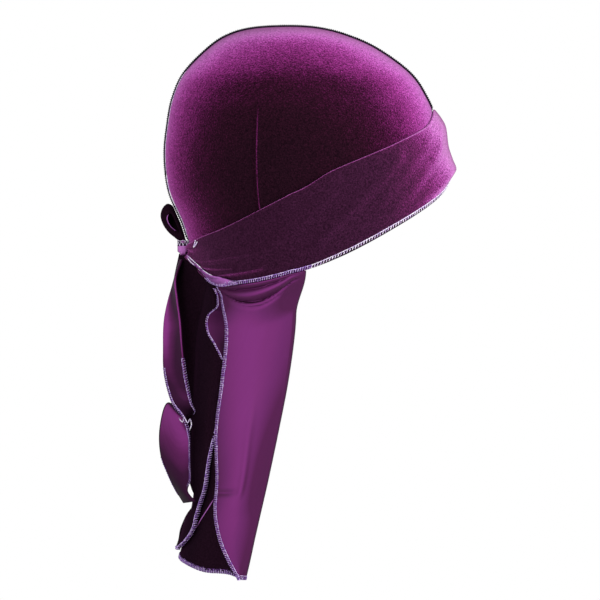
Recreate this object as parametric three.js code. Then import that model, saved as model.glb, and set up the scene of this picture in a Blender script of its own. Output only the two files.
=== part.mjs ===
// A velvet durag as it is worn: a two-panel crown with an outside centre seam, a tie wrapped
// round the forehead and knotted at the nape with one bow loop, two hanging tie ends, and a
// cape whose right border is folded outward so that its satin reverse shows.
// Millimetres. +X is the front of the head, +Y the wearer's left and +Z up. The origin is
// the inside of the crown at its top, where the head carries it.
import * as THREE from "three";
import { mergeVertices } from "three/addons/utils/BufferGeometryUtils.js";

// Head that the crown is cut for, measured from the origin's vertical line
const headHeight = 88; // from the widest level up to the top
const headFront = 107.6;
const headBack = 83.8;
const headHalfWidth = 77.4;
const browFullness = 0.13; // how much rounder than an oval the plan is at the brow

// Cloth
const crownWall = 1.6;
const wrapWall = 1.6;
const capeWall = 1.5;
const tailWall = 1.5;
const loopWall = 1.6;
const clearance = 0.4; // between two pieces that are sewn or lie together

// Crown
const seamWidth = 2.6;
const seamRise = 1.7;
const seamLie = 0.15; // more than the clearance, where the crown curves inward
const rimCover = 3.2; // how far the wrap hangs below the crown's rim
const pleatRise = 1.1;
const pleatWidth = 5;
const pleatTurn = 0.583;
const pleatTop = 0.42;
const pleatFade = 0.25; // share of headHeight over which it runs out below pleatTop
const pleatFoot = 0.12; // the same above the wrap

// Forehead wrap
const wrapPuff = 7.8; // how far its lower roll stands off the crown at the front
const wrapLie = 0.8; // how far its inner face stands off the crown at the sides
const gatherDepth = 1.5;
const gatherCount = 3;
const gatherTurn = 0.72; // where the gathers begin
const gatherFull = 0.98;
const frontTurn = 0.17; // how far round the rolls of the front reach
const wrapPart = 0.008; // share of the half turn that its two ends stay apart at the nape

// Knot and bow loop
const knotDepth = 7.6;
const knotWidth = 15;
const knotHeight = 11.4;
const knotLevel = -0.74; // level of its middle on the head
const knotRoundness = 0.65; // 1 is an oval, less is squarer
const knotCrease = 0.1;
const loopSize = 24.5;
const loopHalfWidth = 9;
const loopPinch = 0.3; // how far its far edge is drawn together

// Hanging tie ends
const twistedLength = 171;
const backLength = 204;
const tailWidth = 24;
const tailDepth = 30;
const tailStandOff = 3.4;
const tailBulge = 2.2;

// Cape
const capeLength = 231;
const capeReach = 64.5;
const capeHalfWidth = 60;
const napeTuck = 28.5; // how far its back hangs forward of the back of the head
const capeSettle = 30; // drop over which it leaves the head's form
const flapLie = 2.3; // between the middles of its two layers at the top
const flapStandOff = 4; // the same, lower down
const leftEdgeSet = 5.4; // how far its plain left edge hangs behind the fold
const foldTurn = -0.472; // where its front fold and front edge meet the rim
const flapEdgeTurn = -0.85;
const capeRoundness = 0.42; // 0.5 is an oval plan, less is squarer
const capeSwag = 1.6;
const swagCount = 1.5;
const capeWave = 1.8;

// Facets
const panelColumns = 24;
const panelRows = 14;
const seamFrontRings = 22;
const seamBackRings = 26;
const wrapColumns = 56;
const loopRows = 28;
const loopColumns = 5;
const twistedRows = 44;
const twistedColumns = 6;
const backRows = 32;
const backColumns = 7;
const capeRows = 20;
const rowCrowding = 1.15; // above 1 the cape's rows are closer together near its top

// Head form. Shares of headHeight above the widest level, and of headFront, headBack and
// headHalfWidth.
const headSections = [
  // climb, height, front, back, side
  [0.0, -1.12, 0.96, 0.6, 0.84],
  [0.1, -0.8, 1.0, 0.78, 0.93],
  [0.2, -0.54, 1.0, 0.87, 0.98],
  [0.3, -0.28, 1.0, 0.985, 1.0],
  [0.4, 0.0, 0.987, 1.02, 1.0],
  [0.5, 0.255, 0.936, 0.995, 0.97],
  [0.6, 0.446, 0.872, 0.955, 0.91],
  [0.7, 0.636, 0.765, 0.865, 0.815],
  [0.8, 0.827, 0.551, 0.672, 0.64],
  [0.88, 0.93, 0.36, 0.51, 0.48],
  [0.95, 0.985, 0.18, 0.3, 0.26],
  [1.0, 1.0, 0.0, 0.0, 0.0],
];

// Edges of the forehead wrap as shares of headHeight. Turn 0 is the front and 1 the back.
const wrapEdges = [
  // turn, lower, upper
  [0.0, -0.207, 0.35],
  [0.14, -0.368, 0.207],
  [0.25, -0.535, 0.09],
  [0.41, -0.815, -0.13],
  [0.48, -0.915, -0.286],
  [0.6, -0.985, -0.46],
  [0.72, -1.012, -0.585],
  [0.84, -1.015, -0.655],
  [0.9, -0.975, -0.684],
  [0.95, -0.89, -0.692],
  [1.0, -0.8, -0.7],
];

// Rolls of the wrap at the front, as shares of wrapPuff
const wrapRolls = [
  // across, standOff
  [0.0, 0.27],
  [0.08, 0.68],
  [0.16, 1.0],
  [0.3, 0.74],
  [0.47, 0.55],
  [0.74, 0.73],
  [0.87, 0.56],
  [1.0, 0.26],
];

// Bow loop from the knot out, up and back down beside the centre seam, as shares of loopSize
const loopPath = [
  // along, back, up, halfWidth
  [0.0, 0.05, 0.245, 0.45],
  [0.12, 0.17, 0.38, 0.6],
  [0.28, 0.42, 0.6, 0.85],
  [0.42, 0.58, 0.87, 1.0],
  [0.54, 0.55, 1.1, 1.0],
  [0.62, 0.38, 1.2, 1.0],
  [0.72, 0.27, 1.03, 0.95],
  [0.84, 0.12, 0.77, 0.8],
  [0.94, -0.01, 0.52, 0.6],
  [1.0, -0.04, 0.275, 0.45],
];

// The point that the loop's far edge is drawn to, in the same shares
const loopEye = { back: 0.3, up: 0.72 };

// Edges of the twisted tie end. Out is toward the front as a share of tailWidth, drop a share
// of twistedLength and depth a share of tailDepth toward the wearer's right.
const twistedEdges = [
  // along, backOut, backDrop, backDepth, frontOut, frontDrop, frontDepth
  [0.0, -0.1, 0.0, 0.04, 0.1, 0.0, 0.2],
  [0.08, -0.2, 0.08, 0.15, 0.07, 0.08, 0.48],
  [0.2, -0.52, 0.22, 0.3, 0.08, 0.22, 0.8],
  [0.34, -0.545, 0.39, 0.42, 0.12, 0.39, 0.98],
  [0.46, -0.456, 0.54, 0.6, 0.2, 0.55, 1.02],
  [0.53, -0.2, 0.605, 0.92, 0.36, 0.61, 0.92],
  [0.58, 0.06, 0.65, 1.14, 0.3, 0.645, 0.66],
  [0.63, 0.22, 0.69, 1.16, -0.08, 0.625, 0.46],
  [0.69, 0.26, 0.73, 1.06, -0.42, 0.585, 0.42],
  [0.76, 0.26, 0.785, 0.98, -0.57, 0.69, 0.46],
  [0.84, 0.24, 0.84, 0.92, -0.55, 0.78, 0.5],
  [0.9, 0.235, 0.885, 0.98, -0.4, 0.87, 0.62],
  [0.95, 0.17, 0.94, 1.06, -0.14, 0.94, 0.76],
  [1.0, 0.38, 0.985, 1.14, 0.07, 1.0, 0.9],
];

// Edges of the straight tie end behind it, in the same measures with backLength
const backEdges = [
  // drop, backOut, backDepth, frontOut, frontDepth
  [0.0, 0.0, -0.12, 0.14, 0.02],
  [0.07, -0.03, -0.02, 0.62, 0.5],
  [0.15, -0.03, 0.06, 0.84, 0.75],
  [0.25, 0.03, 0.12, 0.86, 0.9],
  [0.39, 0.09, 0.14, 0.88, 0.95],
  [0.52, 0.15, 0.14, 0.94, 0.95],
  [0.63, 0.21, 0.14, 0.93, 0.92],
  [0.71, 0.26, 0.18, 0.81, 0.85],
  [0.77, 0.32, 0.22, 0.75, 0.8],
  [0.83, 0.4, 0.32, 0.57, 0.7],
  [0.9, 0.09, 0.3, 0.41, 0.7],
  [0.96, -0.12, 0.3, 0.25, 0.65],
  [1.0, -0.16, 0.36, -0.06, 0.55],
];

// Plan of the hanging cape. Back, fold and free are shares of capeReach, side of
// capeHalfWidth.
const capeSections = [
  // drop, back, fold, free, side
  [0.0, 0.0, 1.04, 0.08, 1.0],
  [0.1, -0.01, 0.94, 0.11, 0.97],
  [0.25, -0.1, 0.905, 0.163, 0.88],
  [0.4, -0.13, 0.832, 0.118, 0.8],
  [0.55, -0.15, 0.728, 0.055, 0.75],
  [0.7, -0.163, 0.615, 0.065, 0.72],
  [0.8, -0.21, 0.533, 0.043, 0.7],
  [0.88, -0.28, 0.468, 0.09, 0.69],
  [0.94, -0.34, 0.422, 0.178, 0.68],
  [1.0, -0.36, 0.372, 0.3, 0.67],
];

// Lower hem of the cape from its back to its front edge, as shares of capeLength
const capeHem = [
  // forward, drop
  [0.0, 0.935],
  [0.3, 0.955],
  [0.6, 0.978],
  [0.85, 0.984],
  [1.0, 1.0],
];

// Reads a table between its rows along a smooth curve. The first column is the key.
function readTable(rows, key) {
  const last = rows.length - 1;
  let at = 0;
  while (at < last - 1 && key > rows[at + 1][0]) {
    at += 1;
  }
  const before = rows[Math.max(at - 1, 0)];
  const from = rows[at];
  const to = rows[at + 1];
  const after = rows[Math.min(at + 2, last)];
  const step = to[0] - from[0];
  const share = THREE.MathUtils.clamp((key - from[0]) / step, 0, 1);
  const square = share * share;
  const cube = square * share;
  return from.map((value, column) => {
    const slopeFrom = (to[column] - before[column]) / (to[0] - before[0]);
    const slopeTo = (after[column] - value) / (after[0] - from[0]);
    return (
      value * (2 * cube - 3 * square + 1) +
      slopeFrom * step * (cube - 2 * square + share) +
      to[column] * (3 * square - 2 * cube) +
      slopeTo * step * (cube - square)
    );
  });
}

const { lerp, smoothstep } = THREE.MathUtils;

// The rows past the top mirror the last ones, so that the form is level there.
const [topRow, belowTop] = [headSections.at(-1), headSections.at(-2)];
const mirroredRow = [2 * topRow[0] - belowTop[0], belowTop[1], -belowTop[2], -belowTop[3], -belowTop[4]];
const headRows = [...headSections, mirroredRow];

// A point of the head at a turn from -1 (back, past the right side) over 0 (front) to 1.
function headPoint(turn, climb) {
  const [, height, front, back, side] = readTable(headRows, climb);
  const angle = Math.PI * turn;
  const forward = Math.cos(angle);
  const reach = forward > 0 ? front * headFront : back * headBack;
  const fullness = 1 + browFullness * Math.max(forward, 0) ** 2;
  return new THREE.Vector3(
    reach * forward,
    side * headHalfWidth * fullness * Math.sin(angle),
    (height - 1) * headHeight,
  );
}

function climbAt(height) {
  let low = 0;
  let high = 1;
  for (let halving = 0; halving < 30; halving += 1) {
    const middle = (low + high) / 2;
    if (readTable(headRows, middle)[1] < height) {
      low = middle;
    } else {
      high = middle;
    }
  }
  return (low + high) / 2;
}

function headNormal(turn, climb) {
  const step = 0.002;
  if (climb > 1 - step) {
    return new THREE.Vector3(0, 0, 1);
  }
  const along = headPoint(turn + step, climb).sub(headPoint(turn - step, climb));
  const up = headPoint(turn, climb + step).sub(headPoint(turn, climb - step));
  return along.cross(up).normalize();
}

function headLift(turn, climb, lift) {
  return headPoint(turn, climb).addScaledVector(headNormal(turn, climb), lift);
}

// The rows past the front mirror the first ones, so that the wrap's edges are level there.
const [, beyondFront] = wrapEdges;
const wrapRows = [[-beyondFront[0], beyondFront[1], beyondFront[2]], ...wrapEdges];

function wrapEdge(turn, column) {
  return readTable(wrapRows, Math.abs(turn))[column];
}

function rimHeight(turn) {
  return wrapEdge(turn, 1) + rimCover / headHeight;
}

// The lowest corner of an edge cut square across a wall that stands at a lift off the head.
function lowestCorner(turn, height, lift) {
  const slope = headNormal(turn, climbAt(height)).z;
  return (height - 1) * headHeight + Math.min(0, slope) * lift;
}

// Joins triangles into one closed body whose faces point out.
function closedBody(triangles) {
  const flat = new THREE.BufferGeometry();
  const corners = triangles.flat().flatMap((point) => [point.x, point.y, point.z]);
  flat.setAttribute("position", new THREE.Float32BufferAttribute(corners, 3));
  const merged = mergeVertices(flat, 1e-3);
  const index = merged.index.array;
  const kept = [];
  for (let at = 0; at < index.length; at += 3) {
    const [a, b, c] = [index[at], index[at + 1], index[at + 2]];
    if (a !== b && b !== c && c !== a) {
      kept.push(a, b, c);
    }
  }
  const place = merged.getAttribute("position");
  const corner = (at) => new THREE.Vector3().fromBufferAttribute(place, at);
  let volume = 0;
  for (let at = 0; at < kept.length; at += 3) {
    volume += corner(kept[at]).dot(corner(kept[at + 1]).cross(corner(kept[at + 2])));
  }
  if (volume < 0) {
    kept.reverse();
  }
  merged.setIndex(kept);
  merged.computeVertexNormals();
  return merged;
}

function quad(a, b, c, d) {
  return [
    [a, b, c],
    [a, c, d],
  ];
}

// A wall of cloth between two grids of points, closed along its four edges.
function clothWall(outer, inner) {
  const triangles = [];
  const lastColumn = outer.length - 1;
  const lastRow = outer[0].length - 1;
  for (let i = 0; i < lastColumn; i += 1) {
    for (let j = 0; j < lastRow; j += 1) {
      triangles.push(...quad(outer[i][j], outer[i + 1][j], outer[i + 1][j + 1], outer[i][j + 1]));
      triangles.push(...quad(inner[i][j], inner[i][j + 1], inner[i + 1][j + 1], inner[i + 1][j]));
    }
    triangles.push(...quad(outer[i][0], inner[i][0], inner[i + 1][0], outer[i + 1][0]));
    triangles.push(
      ...quad(outer[i][lastRow], outer[i + 1][lastRow], inner[i + 1][lastRow], inner[i][lastRow]),
    );
  }
  for (let j = 0; j < lastRow; j += 1) {
    triangles.push(...quad(outer[0][j], outer[0][j + 1], inner[0][j + 1], inner[0][j]));
    triangles.push(
      ...quad(
        outer[lastColumn][j],
        inner[lastColumn][j],
        inner[lastColumn][j + 1],
        outer[lastColumn][j + 1],
      ),
    );
  }
  return closedBody(triangles);
}

// Cloth of one thickness either side of a grid of points on its middle.
function clothSheet(middle, thickness) {
  const lastColumn = middle.length - 1;
  const lastRow = middle[0].length - 1;
  const side = (sign) =>
    middle.map((column, i) =>
      column.map((point, j) => {
        const along = middle[Math.min(i + 1, lastColumn)][j].clone().sub(middle[Math.max(i - 1, 0)][j]);
        const down = column[Math.min(j + 1, lastRow)].clone().sub(column[Math.max(j - 1, 0)]);
        const normal = along.cross(down).normalize();
        return point.clone().addScaledVector(normal, (sign * thickness) / 2);
      }),
    );
  return clothWall(side(1), side(-1));
}

function grid(columns, rows, pointAt) {
  return columns.map((column) => rows.map((row) => pointAt(column, row)));
}

function evenSteps(count) {
  return Array.from({ length: count + 1 }, (_, at) => at / count);
}

function addPiece(parent, name, geometry, finish) {
  const piece = new THREE.Mesh(geometry, new THREE.MeshStandardMaterial(finish));
  piece.name = name;
  parent.add(piece);
}

const velvet = { color: 0x5a1c52, roughness: 0.75, metalness: 0 };
const darkVelvet = { color: 0x35102f, roughness: 0.8, metalness: 0 };
const satin = { color: 0x7c3a78, roughness: 0.4, metalness: 0 };
const thread = { color: 0x3a1846, roughness: 0.6, metalness: 0 };

// One crown panel. Its columns run from the front to the back, its rows from rim to top.
function crownPanel(side, hasPleat) {
  const shift = new THREE.Vector3(0, (side * clearance) / 2, 0);
  const pleatShare = pleatWidth / (2 * Math.PI * headHalfWidth);
  let turns = evenSteps(panelColumns);
  if (hasPleat) {
    turns = turns.filter((turn) => Math.abs(turn - pleatTurn) > 2 * pleatShare);
    turns.push(pleatTurn - 2 * pleatShare, pleatTurn - pleatShare / 2, pleatTurn, pleatTurn + pleatShare);
    turns.sort((a, b) => a - b);
  }
  const face = (lift) =>
    grid(turns, evenSteps(panelRows), (turn, rise) => {
      const climb = lerp(climbAt(rimHeight(turn)), 1, rise);
      const height = readTable(headRows, climb)[1];
      const onPleat = hasPleat && turn === pleatTurn;
      const covered = wrapEdge(turn, 2) + clearance / headHeight;
      const faded = 1 - smoothstep(height, pleatTop - pleatFade, pleatTop);
      const begun = smoothstep(height, covered, covered + pleatFoot);
      const ridge = onPleat ? pleatRise * faded * begun : 0;
      return headLift(side * turn, climb, lift + ridge).add(shift);
    });
  return clothWall(face(crownWall), face(0));
}

// The overlocked seam allowance that stands up along the centre of the crown.
function centreSeam() {
  const frontEnd = climbAt(wrapEdge(0, 2) + (clearance + seamRise / 2) / headHeight);
  const backEnd = climbAt(wrapEdge(1, 2) + (clearance + seamRise / 2) / headHeight);
  const stations = [];
  for (const share of evenSteps(seamFrontRings)) {
    stations.push([0, lerp(frontEnd, 1, share)]);
  }
  for (const share of evenSteps(seamBackRings).slice(1)) {
    stations.push([1, lerp(1, backEnd, share)]);
  }
  const base = crownWall + clearance + seamLie;
  const section = [
    // across, rise
    [-0.5, 0.0],
    [-0.5, 0.55],
    [-0.25, 1.0],
    [0.25, 1.0],
    [0.5, 0.55],
    [0.5, 0.0],
  ];
  const rings = stations.map(([turn, climb]) =>
    section.map(([across, rise]) => {
      const point = headLift(turn, climb, base + rise * seamRise);
      point.y = across * seamWidth;
      return point;
    }),
  );
  const triangles = [];
  for (let at = 0; at < rings.length - 1; at += 1) {
    section.forEach((_, corner) => {
      const next = (corner + 1) % section.length;
      const [ring, nextRing] = [rings[at], rings[at + 1]];
      triangles.push(...quad(ring[corner], ring[next], nextRing[next], nextRing[corner]));
    });
  }
  for (let corner = 1; corner < section.length - 1; corner += 1) {
    const last = rings.at(-1);
    triangles.push([rings[0][0], rings[0][corner + 1], rings[0][corner]]);
    triangles.push([last[0], last[corner], last[corner + 1]]);
  }
  return closedBody(triangles);
}

// How far the wrap's inner face stands off the crown.
function wrapOffset(turn, across) {
  const around = Math.abs(turn);
  const front = Math.exp(-((around / frontTurn) ** 2));
  const back = smoothstep(around, gatherTurn, gatherFull);
  const roll = readTable(wrapRolls, across)[1] * wrapPuff - wrapWall;
  const gather = gatherDepth * (0.5 - 0.5 * Math.cos(2 * Math.PI * gatherCount * across));
  const drape = 0.5 * gatherDepth * Math.sin(Math.PI * across) * (1 - front) * (1 - back);
  return Math.max(wrapLie + back * gather + drape, front * roll);
}

function foreheadWrap() {
  const turns = evenSteps(wrapColumns).map((share) => lerp(-1, 1, share) * (1 - wrapPart));
  const across = [0, 0.08, 0.16, 0.3, 0.45, 0.6, 0.74, 0.87, 1];
  const face = (lift) =>
    grid(turns, across, (turn, share) => {
      const height = lerp(wrapEdge(turn, 1), wrapEdge(turn, 2), share);
      return headLift(turn, climbAt(height), crownWall + wrapOffset(turn, share) + lift);
    });
  return clothWall(face(wrapWall), face(0));
}

// Middle of the knot, seated on the wrap where its two ends meet.
function knotCentre() {
  const lift = crownWall + wrapLie + gatherDepth + wrapWall + clearance;
  const seat = headLift(1, climbAt(knotLevel), lift);
  return seat.add(new THREE.Vector3(-knotDepth / 2, 0, 0));
}

function knot() {
  const centre = knotCentre();
  const body = new THREE.SphereGeometry(1, 20, 12);
  const place = body.getAttribute("position");
  for (let at = 0; at < place.count; at += 1) {
    const point = new THREE.Vector3().fromBufferAttribute(place, at);
    const pinch = 1 - Math.cos(4 * Math.atan2(point.z, point.x));
    const crease = 1 - knotCrease * pinch * (1 - point.y ** 2);
    const squared = (value) => Math.sign(value) * Math.abs(value) ** knotRoundness;
    place.setXYZ(
      at,
      centre.x + (squared(point.x) * crease * knotDepth) / 2,
      centre.y + (squared(point.y) * knotWidth) / 2,
      centre.z + (squared(point.z) * crease * knotHeight) / 2,
    );
  }
  body.deleteAttribute("normal");
  body.deleteAttribute("uv");
  const loose = body.toNonIndexed().getAttribute("position");
  const triangles = [];
  for (let at = 0; at < loose.count; at += 3) {
    triangles.push([0, 1, 2].map((corner) => new THREE.Vector3().fromBufferAttribute(loose, at + corner)));
  }
  return closedBody(triangles);
}

// The loop is drawn together at its far edge, so it is a pocket that is open to the right.
function bowLoop() {
  const centre = knotCentre();
  const middle = grid(evenSteps(loopRows), evenSteps(loopColumns), (along, across) => {
    const [, back, up, width] = readTable(loopPath, along);
    const drawn = lerp(1, loopPinch, across ** 2);
    return new THREE.Vector3(
      centre.x - lerp(loopEye.back, back, drawn) * loopSize,
      centre.y + (2 * across - 1) * width * loopHalfWidth,
      centre.z + lerp(loopEye.up, up, drawn) * loopSize,
    );
  });
  return clothSheet(middle, loopWall);
}

// Plan of the cape at a drop, in millimetres from the origin's vertical line.
function capePlan(drop) {
  const [, back, fold, free, side] = readTable(capeSections, drop);
  const root = napeTuck - headBack;
  return {
    back: root + back * capeReach,
    fold: root + fold * capeReach,
    free: root + free * capeReach,
    side: side * capeHalfWidth,
  };
}

const capeTop = (knotLevel - 1) * headHeight;

function dropAt(height) {
  return THREE.MathUtils.clamp((capeTop - height) / capeLength, 0, 1);
}

// How far the cape stands to the side at a place between its back and its fold.
function capeSide(x, plan) {
  const forward = THREE.MathUtils.clamp((plan.fold - x) / (plan.fold - plan.back), 0, 1);
  return plan.side * (1 - forward ** 2) ** capeRoundness;
}

// Moves a point of a tie end out of the cape that it hangs over.
function drapeOnCape(point) {
  const plan = capePlan(dropAt(point.z));
  const hung = capeSide(point.x + tailStandOff, plan);
  const draped = hung > 0 ? hung + tailStandOff : 0;
  return new THREE.Vector3(point.x, Math.min(point.y, -draped), point.z);
}

// A tie end between its two edge curves, bowed outward in the middle.
function ribbon(edgesAt, rows, columns, drape) {
  const middle = grid(columns, rows, (across, along) => {
    const [from, to] = edgesAt(along);
    const point = from.clone().lerp(to, across);
    point.y -= tailBulge * Math.sin(Math.PI * across) * Math.sin(Math.PI * along);
    return drape(point);
  });
  return clothSheet(middle, tailWall);
}

function tailRoot() {
  return knotCentre().add(new THREE.Vector3(0, 0, -knotHeight / 2 - clearance));
}

function twistedTail() {
  const root = tailRoot();
  const place = (out, drop, depth) =>
    root.clone().add(new THREE.Vector3(out * tailWidth, -depth * tailDepth, -drop * twistedLength));
  const edgesAt = (along) => {
    const [, backOut, backDrop, backDepth, frontOut, frontDrop, frontDepth] = readTable(twistedEdges, along);
    return [place(backOut, backDrop, backDepth), place(frontOut, frontDrop, frontDepth)];
  };
  return ribbon(edgesAt, evenSteps(twistedRows), evenSteps(twistedColumns), (point) => point);
}

function backTail() {
  const root = tailRoot();
  const edgesAt = (along) => {
    const [, backOut, backDepth, frontOut, frontDepth] = readTable(backEdges, along);
    const place = (out, depth) =>
      root.clone().add(new THREE.Vector3(out * tailWidth, -depth * tailDepth, -along * backLength));
    return [place(backOut, backDepth), place(frontOut, frontDepth)];
  };
  return ribbon(edgesAt, evenSteps(backRows), evenSteps(backColumns), drapeOnCape);
}

// The cape's columns run from its left edge round the back to the front fold on the right,
// turn there and run back along the flap to its free edge.
function capeColumns() {
  const left = evenSteps(9).map((share) => ({ part: "left", share: 1 - share }));
  const right = evenSteps(11).slice(1).map((share) => ({ part: "right", share }));
  const turned = evenSteps(5).slice(1, -1).map((share) => ({ part: "turned", share }));
  const flap = evenSteps(9).map((share) => ({ part: "flap", share }));
  return [...left, ...right, ...turned, ...flap];
}

function capePoint({ part, share }, down) {
  const side = part === "left" ? 1 : -1;
  const forward = part === "left" || part === "right" ? share : 1;
  const flapTurn = lerp(foldTurn, flapEdgeTurn, part === "flap" ? share : 0);
  const layerTurn = side * lerp(1, Math.abs(foldTurn), forward);
  const turn = part === "flap" ? flapTurn : layerTurn;
  const outward = part === "turned" || part === "flap" ? 1 : 0;
  const wrapReach = crownWall + wrapOffset(turn, 0) + wrapWall;
  const under = lowestCorner(turn, wrapEdge(turn, 1), wrapReach) - clearance;
  const sewn = lowestCorner(turn, rimHeight(turn), crownWall) - clearance;
  const top = lerp(sewn, under, outward);
  const hem = capeTop - readTable(capeHem, forward)[1] * capeLength;
  const z = lerp(top, hem, down);
  const plan = capePlan(dropAt(z));
  const settled = smoothstep(under - z, 0, capeSettle);
  const spread = lerp(flapLie, flapStandOff, settled);

  const climb = climbAt(z / headHeight + 1);
  const seat = headLift(turn, climb, crownWall / 2);
  const aside = headNormal(turn, climb).setZ(0).normalize();
  const loose = new THREE.Vector3();
  if (part === "flap") {
    seat.addScaledVector(aside, flapLie);
    loose.x = lerp(plan.fold - spread / 2, plan.free, share);
    const drape = Math.sin(2 * Math.PI * swagCount * settled) * (1 - settled);
    const swag = capeSwag * drape * Math.sin(Math.PI * share);
    const wave = capeWave * Math.sin(Math.PI * share) ** 2 * smoothstep(down, 0.15, 0.5);
    loose.y = -(capeSide(loose.x, plan) + spread + swag + wave);
  } else if (part === "turned") {
    const bend = Math.PI * share;
    seat.x += (flapLie / 2) * Math.sin(bend);
    seat.addScaledVector(aside, (flapLie / 2) * (1 - Math.cos(bend)));
    loose.x = plan.fold - spread / 2 + (spread / 2) * Math.sin(bend);
    loose.y = -(plan.side + (spread / 2) * (1 - Math.cos(bend)));
  } else {
    const angle = (Math.PI / 2) * forward;
    const front = plan.fold - (part === "left" ? leftEdgeSet : spread / 2);
    loose.x = front - (front - plan.back) * Math.cos(angle);
    loose.y = side * plan.side * Math.sin(angle) ** (2 * capeRoundness);
  }
  return new THREE.Vector3(lerp(seat.x, loose.x, settled), lerp(seat.y, loose.y, settled), z);
}

function cape() {
  const rows = evenSteps(capeRows).map((share) => share ** rowCrowding);
  return clothSheet(grid(capeColumns(), rows, capePoint), capeWall);
}

const durag = new THREE.Group();
addPiece(durag, "crown_right", crownPanel(-1, true), velvet);
addPiece(durag, "crown_left", crownPanel(1, false), velvet);
addPiece(durag, "centre_seam", centreSeam(), thread);
addPiece(durag, "forehead_wrap", foreheadWrap(), velvet);
addPiece(durag, "knot", knot(), satin);
addPiece(durag, "bow_loop", bowLoop(), darkVelvet);
addPiece(durag, "twisted_tail", twistedTail(), satin);
addPiece(durag, "back_tail", backTail(), darkVelvet);
addPiece(durag, "cape", cape(), satin);

export default durag;
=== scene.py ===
import math

import bmesh
import bpy
import numpy as np
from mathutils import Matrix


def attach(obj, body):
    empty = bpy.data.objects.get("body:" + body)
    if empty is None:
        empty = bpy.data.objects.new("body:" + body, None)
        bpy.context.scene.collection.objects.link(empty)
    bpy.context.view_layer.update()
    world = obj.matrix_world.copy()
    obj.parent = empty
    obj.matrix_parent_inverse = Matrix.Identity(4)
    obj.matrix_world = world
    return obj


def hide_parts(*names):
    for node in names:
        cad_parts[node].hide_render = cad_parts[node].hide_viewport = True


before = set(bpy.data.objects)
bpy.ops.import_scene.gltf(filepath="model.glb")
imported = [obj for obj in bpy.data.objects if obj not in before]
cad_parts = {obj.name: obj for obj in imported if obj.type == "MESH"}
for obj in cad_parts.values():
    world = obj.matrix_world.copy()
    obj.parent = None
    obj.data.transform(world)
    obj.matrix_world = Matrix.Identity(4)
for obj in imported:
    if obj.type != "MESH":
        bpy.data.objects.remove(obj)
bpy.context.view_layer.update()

mm = 0.001


def newPiece(name, data):
    obj = bpy.data.objects.new(name, data)
    bpy.context.collection.objects.link(obj)
    return obj


# Camera and light

photo = {
    "frameWidth": 420,  # what the picture is wide at the object, mm
    "centre": (7, 0, -189.5),
    "distance": 7000,
    "sensor": 36,
}

camera = newPiece("photoCamera", bpy.data.cameras.new("photoCamera"))
camera.data.sensor_width = photo["sensor"]
camera.data.lens = photo["sensor"] * photo["distance"] / photo["frameWidth"]
camera.data.clip_end = 40
centreX, _, centreZ = photo["centre"]
camera.location = (centreX * mm, -photo["distance"] * mm, centreZ * mm)
camera.rotation_euler = (math.radians(90), 0, 0)
bpy.context.scene.camera = camera

studio = {
    "floorDrop": 640,  # below the crown's top
    "floorSize": 3600,
    "roomLight": 0.55,
    "roomColour": "#ffffff",
    # name: (place, aim, size, watts)
    "lamps": {
        "topSoftbox": ((120, -100, 900), (0, 0, -80), 700, 4),
        "frontSoftbox": ((900, -300, 60), (0, 0, -120), 600, 9),
        "backSoftbox": ((-850, -350, 100), (0, 0, -120), 600, 1.0),
        "keySoftbox": ((-450, -1200, 250), (0, 0, -200), 500, 7.0),
    },
}


def linear(hexColour):
    # sRGB hex to the linear colour that the shaders take
    parts = [int(hexColour[at : at + 2], 16) / 255 for at in (1, 3, 5)]
    return tuple(p / 12.92 if p < 0.04045 else ((p + 0.055) / 1.055) ** 2.4 for p in parts) + (1.0,)


def addLamp(name, place, aim, size, watts):
    lamp = newPiece(name, bpy.data.lights.new(name, "AREA"))
    lamp.data.shape = "DISK"
    lamp.data.size = size * mm
    lamp.data.energy = watts
    place = np.array(place) * mm
    lamp.location = place
    away = place - np.array(aim) * mm
    distance = np.linalg.norm(away)
    lamp.rotation_euler = (math.acos(away[2] / distance), 0, math.atan2(away[1], away[0]) + math.pi / 2)


for lampName, (lampPlace, lampAim, lampSize, lampWatts) in studio["lamps"].items():
    addLamp(lampName, lampPlace, lampAim, lampSize, lampWatts)

bpy.context.scene.view_settings.view_transform = "Standard"
world = bpy.data.worlds.new("paleRoom")
bpy.context.scene.world = world
world.use_nodes = True
room = world.node_tree
background = room.nodes["Background"]
background.inputs["Color"].default_value = linear(studio["roomColour"])
background.inputs["Strength"].default_value = studio["roomLight"]
seen = room.nodes.new("ShaderNodeBackground")  # what the camera sees past the object is plain white
seen.inputs["Color"].default_value = linear(studio["roomColour"])
lightPath = room.nodes.new("ShaderNodeLightPath")
roomMix = room.nodes.new("ShaderNodeMixShader")
room.links.new(lightPath.outputs["Is Camera Ray"], roomMix.inputs[0])
room.links.new(background.outputs[0], roomMix.inputs[1])
room.links.new(seen.outputs[0], roomMix.inputs[2])
room.links.new(roomMix.outputs[0], room.nodes["World Output"].inputs["Surface"])


# Finishes


def newMaterial(name):
    material = bpy.data.materials.new(name)
    material.use_nodes = True
    return material, material.node_tree, material.node_tree.nodes["Principled BSDF"]


def setInputs(tree, node, inputs):
    # inputs: name or number -> a value, a socket, or a node whose first output is meant
    for key, value in dict(inputs).items():
        if isinstance(value, bpy.types.Node):
            value = value.outputs[0]
        if isinstance(value, bpy.types.NodeSocket):
            tree.links.new(value, node.inputs[key])
        else:
            node.inputs[key].default_value = value


mostNoise = {"From Min": 0.3, "From Max": 0.7}  # a noise stays between these nearly everywhere


def addNode(tree, kind, inputs=(), stops=(), **settings):
    # stops: the places and colours of a colour ramp
    node = tree.nodes.new(kind)
    for key, value in settings.items():
        setattr(node, key, value)
    setInputs(tree, node, inputs)
    marks = node.color_ramp.elements if stops else ()
    while len(marks) < len(stops):
        marks.new(0.5)
    for mark, (position, colour) in zip(marks, stops):
        mark.position = position
        mark.color = linear(colour)
    return node


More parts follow.
